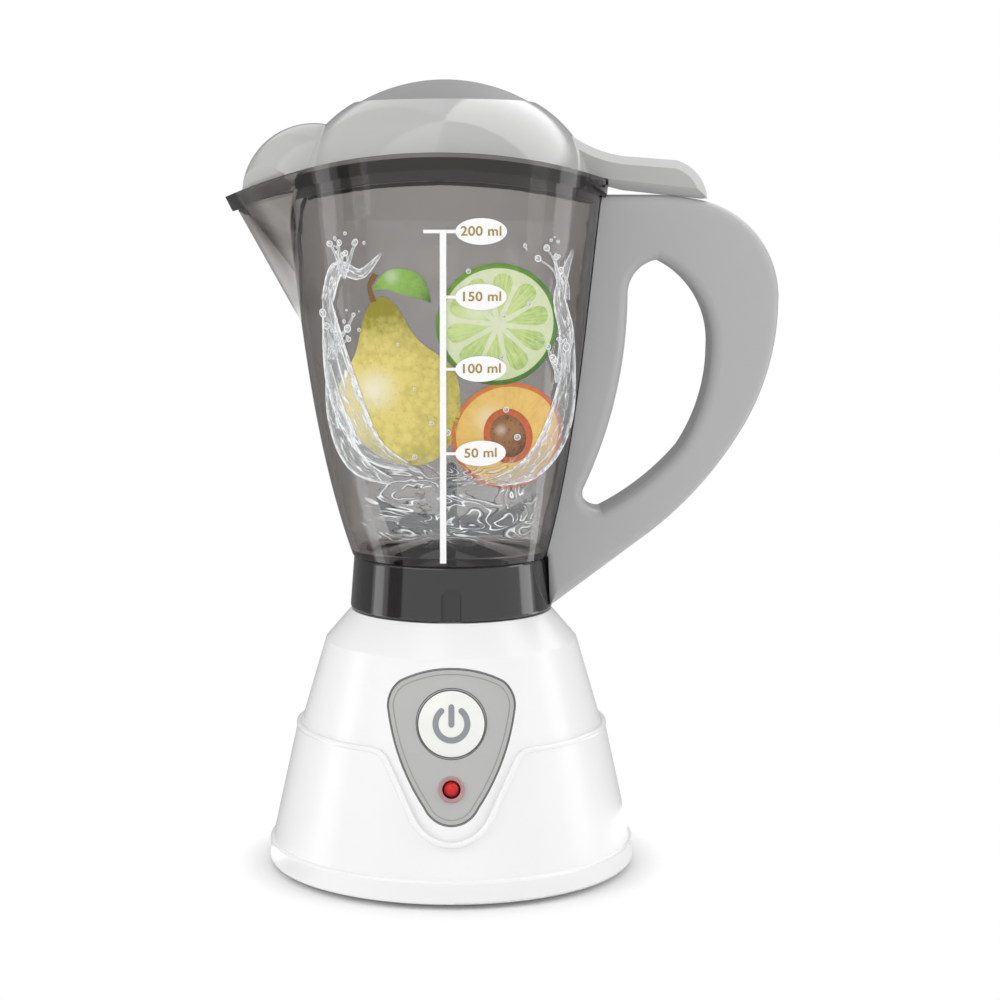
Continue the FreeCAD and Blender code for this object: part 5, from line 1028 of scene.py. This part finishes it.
class TOYBLENDER_OT_lid(bpy.types.Operator):
    """Finish the lid, the dark skirt under it and its cap"""
    bl_idname = "toy_blender.lid"
    bl_label = "Lid"

    def execute(self, context):
        given = context.scene.toy_blender
        dress(moulded("lid_gloss", given.lid_colour, 0.07, 0.012, 0.02, 1500.0, 0.0, 0.0, 0.3), "lid_shell")
        dress(moulded("skirt_gloss", "525252", 0.35, 0.04, 0.04, 900.0, 0.0, 0.0), "lid_skirt")
        cap = moulded("cap_satin", given.cap_colour, 0.5, 0.015, 0.05, 2200.0, 0.04)
        Net(cap.node_tree).surface(Specular_IOR_Level=0.2)
        dress(cap, "lid_cap")
        return {"FINISHED"}


# ------------------------------------------------------------------ stage
def softbox(name, place, width, height, power):
    data = bpy.data.lights.new(name, "AREA")
    data.shape = "RECTANGLE"
    data.size, data.size_y = width, height
    data.energy = power
    lamp = bpy.data.objects.new(name, data)
    lamp.visible_glossy = False
    bpy.context.scene.collection.objects.link(lamp)
    lamp.location = place
    lamp.rotation_euler = (LIGHTS_AIM - Vector(place)).to_track_quat("-Z", "Y").to_euler()


def seen_directly(net):
    """1 for what the camera sees, also through clear plastic."""
    return net.ray("Camera").highest(net.ray("Transmission"))


def mirrored(net):
    """1 for what a gloss shows, 0 for what is seen through clear plastic."""
    return net.ray("Glossy") * (1.0 - net.ray("Transmission"))


def studio_cards(net, direction):
    """How bright the studio looks in a gloss: white, with brighter and darker panels round about. Degrees
    run from the front towards the handle."""
    x, y, z = net.apart(direction)
    front = y * -1.0
    around = x.maths("ARCTAN2", front) * math.degrees(1.0)
    height = z.maths("ARCTAN2", length(x, front)) * math.degrees(1.0)
    total = 0.8
    for cards, ends, soft in ((LOW_CARDS, CARD_BREAK[::-1], 1.5), (HIGH_CARDS, CARD_BREAK, 3.0)):
        level = height.step(*ends)
        for first, last, strength in cards:
            card = around.step(first - soft, first + soft) - around.step(last - soft, last + soft)
            total = card * level * strength + total
    return total


def floor_paper():
    """White paper that keeps the toy's soft shadow close by and is plain white further off."""
    material, net = new_material("floor_paper")
    x, y, _ = net.apart(net.place())
    shade = net.noise(net.place(), 260.0, 3.0) * 0.01 + 0.9
    surface = net.surface(Base_Color=net.wire("CombineColor", shade, shade, shade), Roughness=0.9)
    gloss = mirrored(net)
    back = x.maths("GREATER_THAN", 0.0) * RIGHT_CARD_BACK
    cards = studio_cards(net, net.wire("CombineXYZ", x, y - back)) - 1.0
    paper = net.wire("Emission", Color="FFFFFF", Strength=cards * gloss + 1.0)
    share = seen_directly(net).highest(gloss) * length(x, y).step(*FLOOR_PLAIN)
    net.fill(net.tree.nodes["Material Output"], Surface=net.wire("MixShader", share, surface, paper))
    return material


def surroundings(strength):
    """Even pale light all round, plain white where the camera looks past the toy."""
    world = bpy.data.worlds.new("studio")
    world.use_nodes = True
    bpy.context.scene.world = world
    net = Net(world.node_tree)
    cards = studio_cards(net, net.place("Generated")) - strength
    light = net.fill(net.tree.nodes["Background"], Color="FFFFFF",
                     Strength=cards * mirrored(net) + strength).outputs[0]
    plain = net.wire("Background", Color="FFFFFF", Strength=1.0)
    net.fill(net.tree.nodes["World Output"],
             Surface=net.wire("MixShader", seen_directly(net), light, plain))


class TOYBLENDER_OT_stage(bpy.types.Operator):
    """Set up the pale floor, the soft studio light and the camera"""
    bl_idname = "toy_blender.stage"
    bl_label = "Stage"

    def execute(self, context):
        given = context.scene.toy_blender
        alone()
        bpy.ops.mesh.primitive_plane_add(size=6.0, location=(0, 0, 0))
        floor = bpy.context.object
        floor.name = "floor"
        floor.data.materials.append(floor_paper())
        surroundings(given.surround)
        for name, place, width, height, share in LIGHTS:
            softbox(name, place, width, height, share * given.lamp_power)
        data = bpy.data.cameras.new("camera")
        data.lens, data.sensor_width = given.lens, 36.0
        data.shift_x = given.side_shift
        data.clip_start, data.clip_end = 0.01, 20.0
        camera = bpy.data.objects.new("camera", data)
        context.scene.collection.objects.link(camera)
        camera.location = (0.0, -given.camera_distance, given.camera_height)
        camera.rotation_euler = (math.pi / 2 - given.look_down, 0.0, 0.0)
        context.scene.camera = camera
        context.scene.view_settings.view_transform = "Standard"
        return {"FINISHED"}


OPERATORS = (TOYBLENDER_OT_base, TOYBLENDER_OT_seam_lip, TOYBLENDER_OT_works, TOYBLENDER_OT_panel,
             TOYBLENDER_OT_panel_lines, TOYBLENDER_OT_power_symbol, TOYBLENDER_OT_jug,
             TOYBLENDER_OT_scale, TOYBLENDER_OT_picture, TOYBLENDER_OT_blades,
             TOYBLENDER_OT_handle, TOYBLENDER_OT_lid, TOYBLENDER_OT_stage)


class TOYBLENDER_PT_sidebar(bpy.types.Panel):
    """Lists the toy blender's steps and sizes"""
    bl_idname = "TOYBLENDER_PT_sidebar"
    bl_label = "Toy Blender"
    bl_space_type = "VIEW_3D"
    bl_region_type = "UI"
    bl_category = "Toy Blender"

    def draw(self, context):
        for step in OPERATORS:
            self.layout.operator(step.bl_idname)
        for name in ToyBlenderSettings.__annotations__:
            self.layout.prop(context.scene.toy_blender, name)


def register():
    for kind in (ToyBlenderSettings, *OPERATORS, TOYBLENDER_PT_sidebar):
        bpy.utils.register_class(kind)
    bpy.types.Scene.toy_blender = bpy.props.PointerProperty(type=ToyBlenderSettings)


def unregister():
    del bpy.types.Scene.toy_blender
    for kind in reversed((ToyBlenderSettings, *OPERATORS, TOYBLENDER_PT_sidebar)):
        bpy.utils.unregister_class(kind)


def main():
    register()
    GROUPS["moulded"] = moulded_group()
    GROUPS["printed"] = printed_group()
    bpy.ops.toy_blender.base()
    bpy.ops.toy_blender.seam_lip()
    bpy.ops.toy_blender.works()
    bpy.ops.toy_blender.panel()
    bpy.ops.toy_blender.panel_lines()
    bpy.ops.toy_blender.power_symbol()
    bpy.ops.toy_blender.jug()
    bpy.ops.toy_blender.scale()
    bpy.ops.toy_blender.picture()
    bpy.ops.toy_blender.blades()
    bpy.ops.toy_blender.handle()
    bpy.ops.toy_blender.lid()
    bpy.ops.toy_blender.stage()


if __name__ == "__main__":
    main()
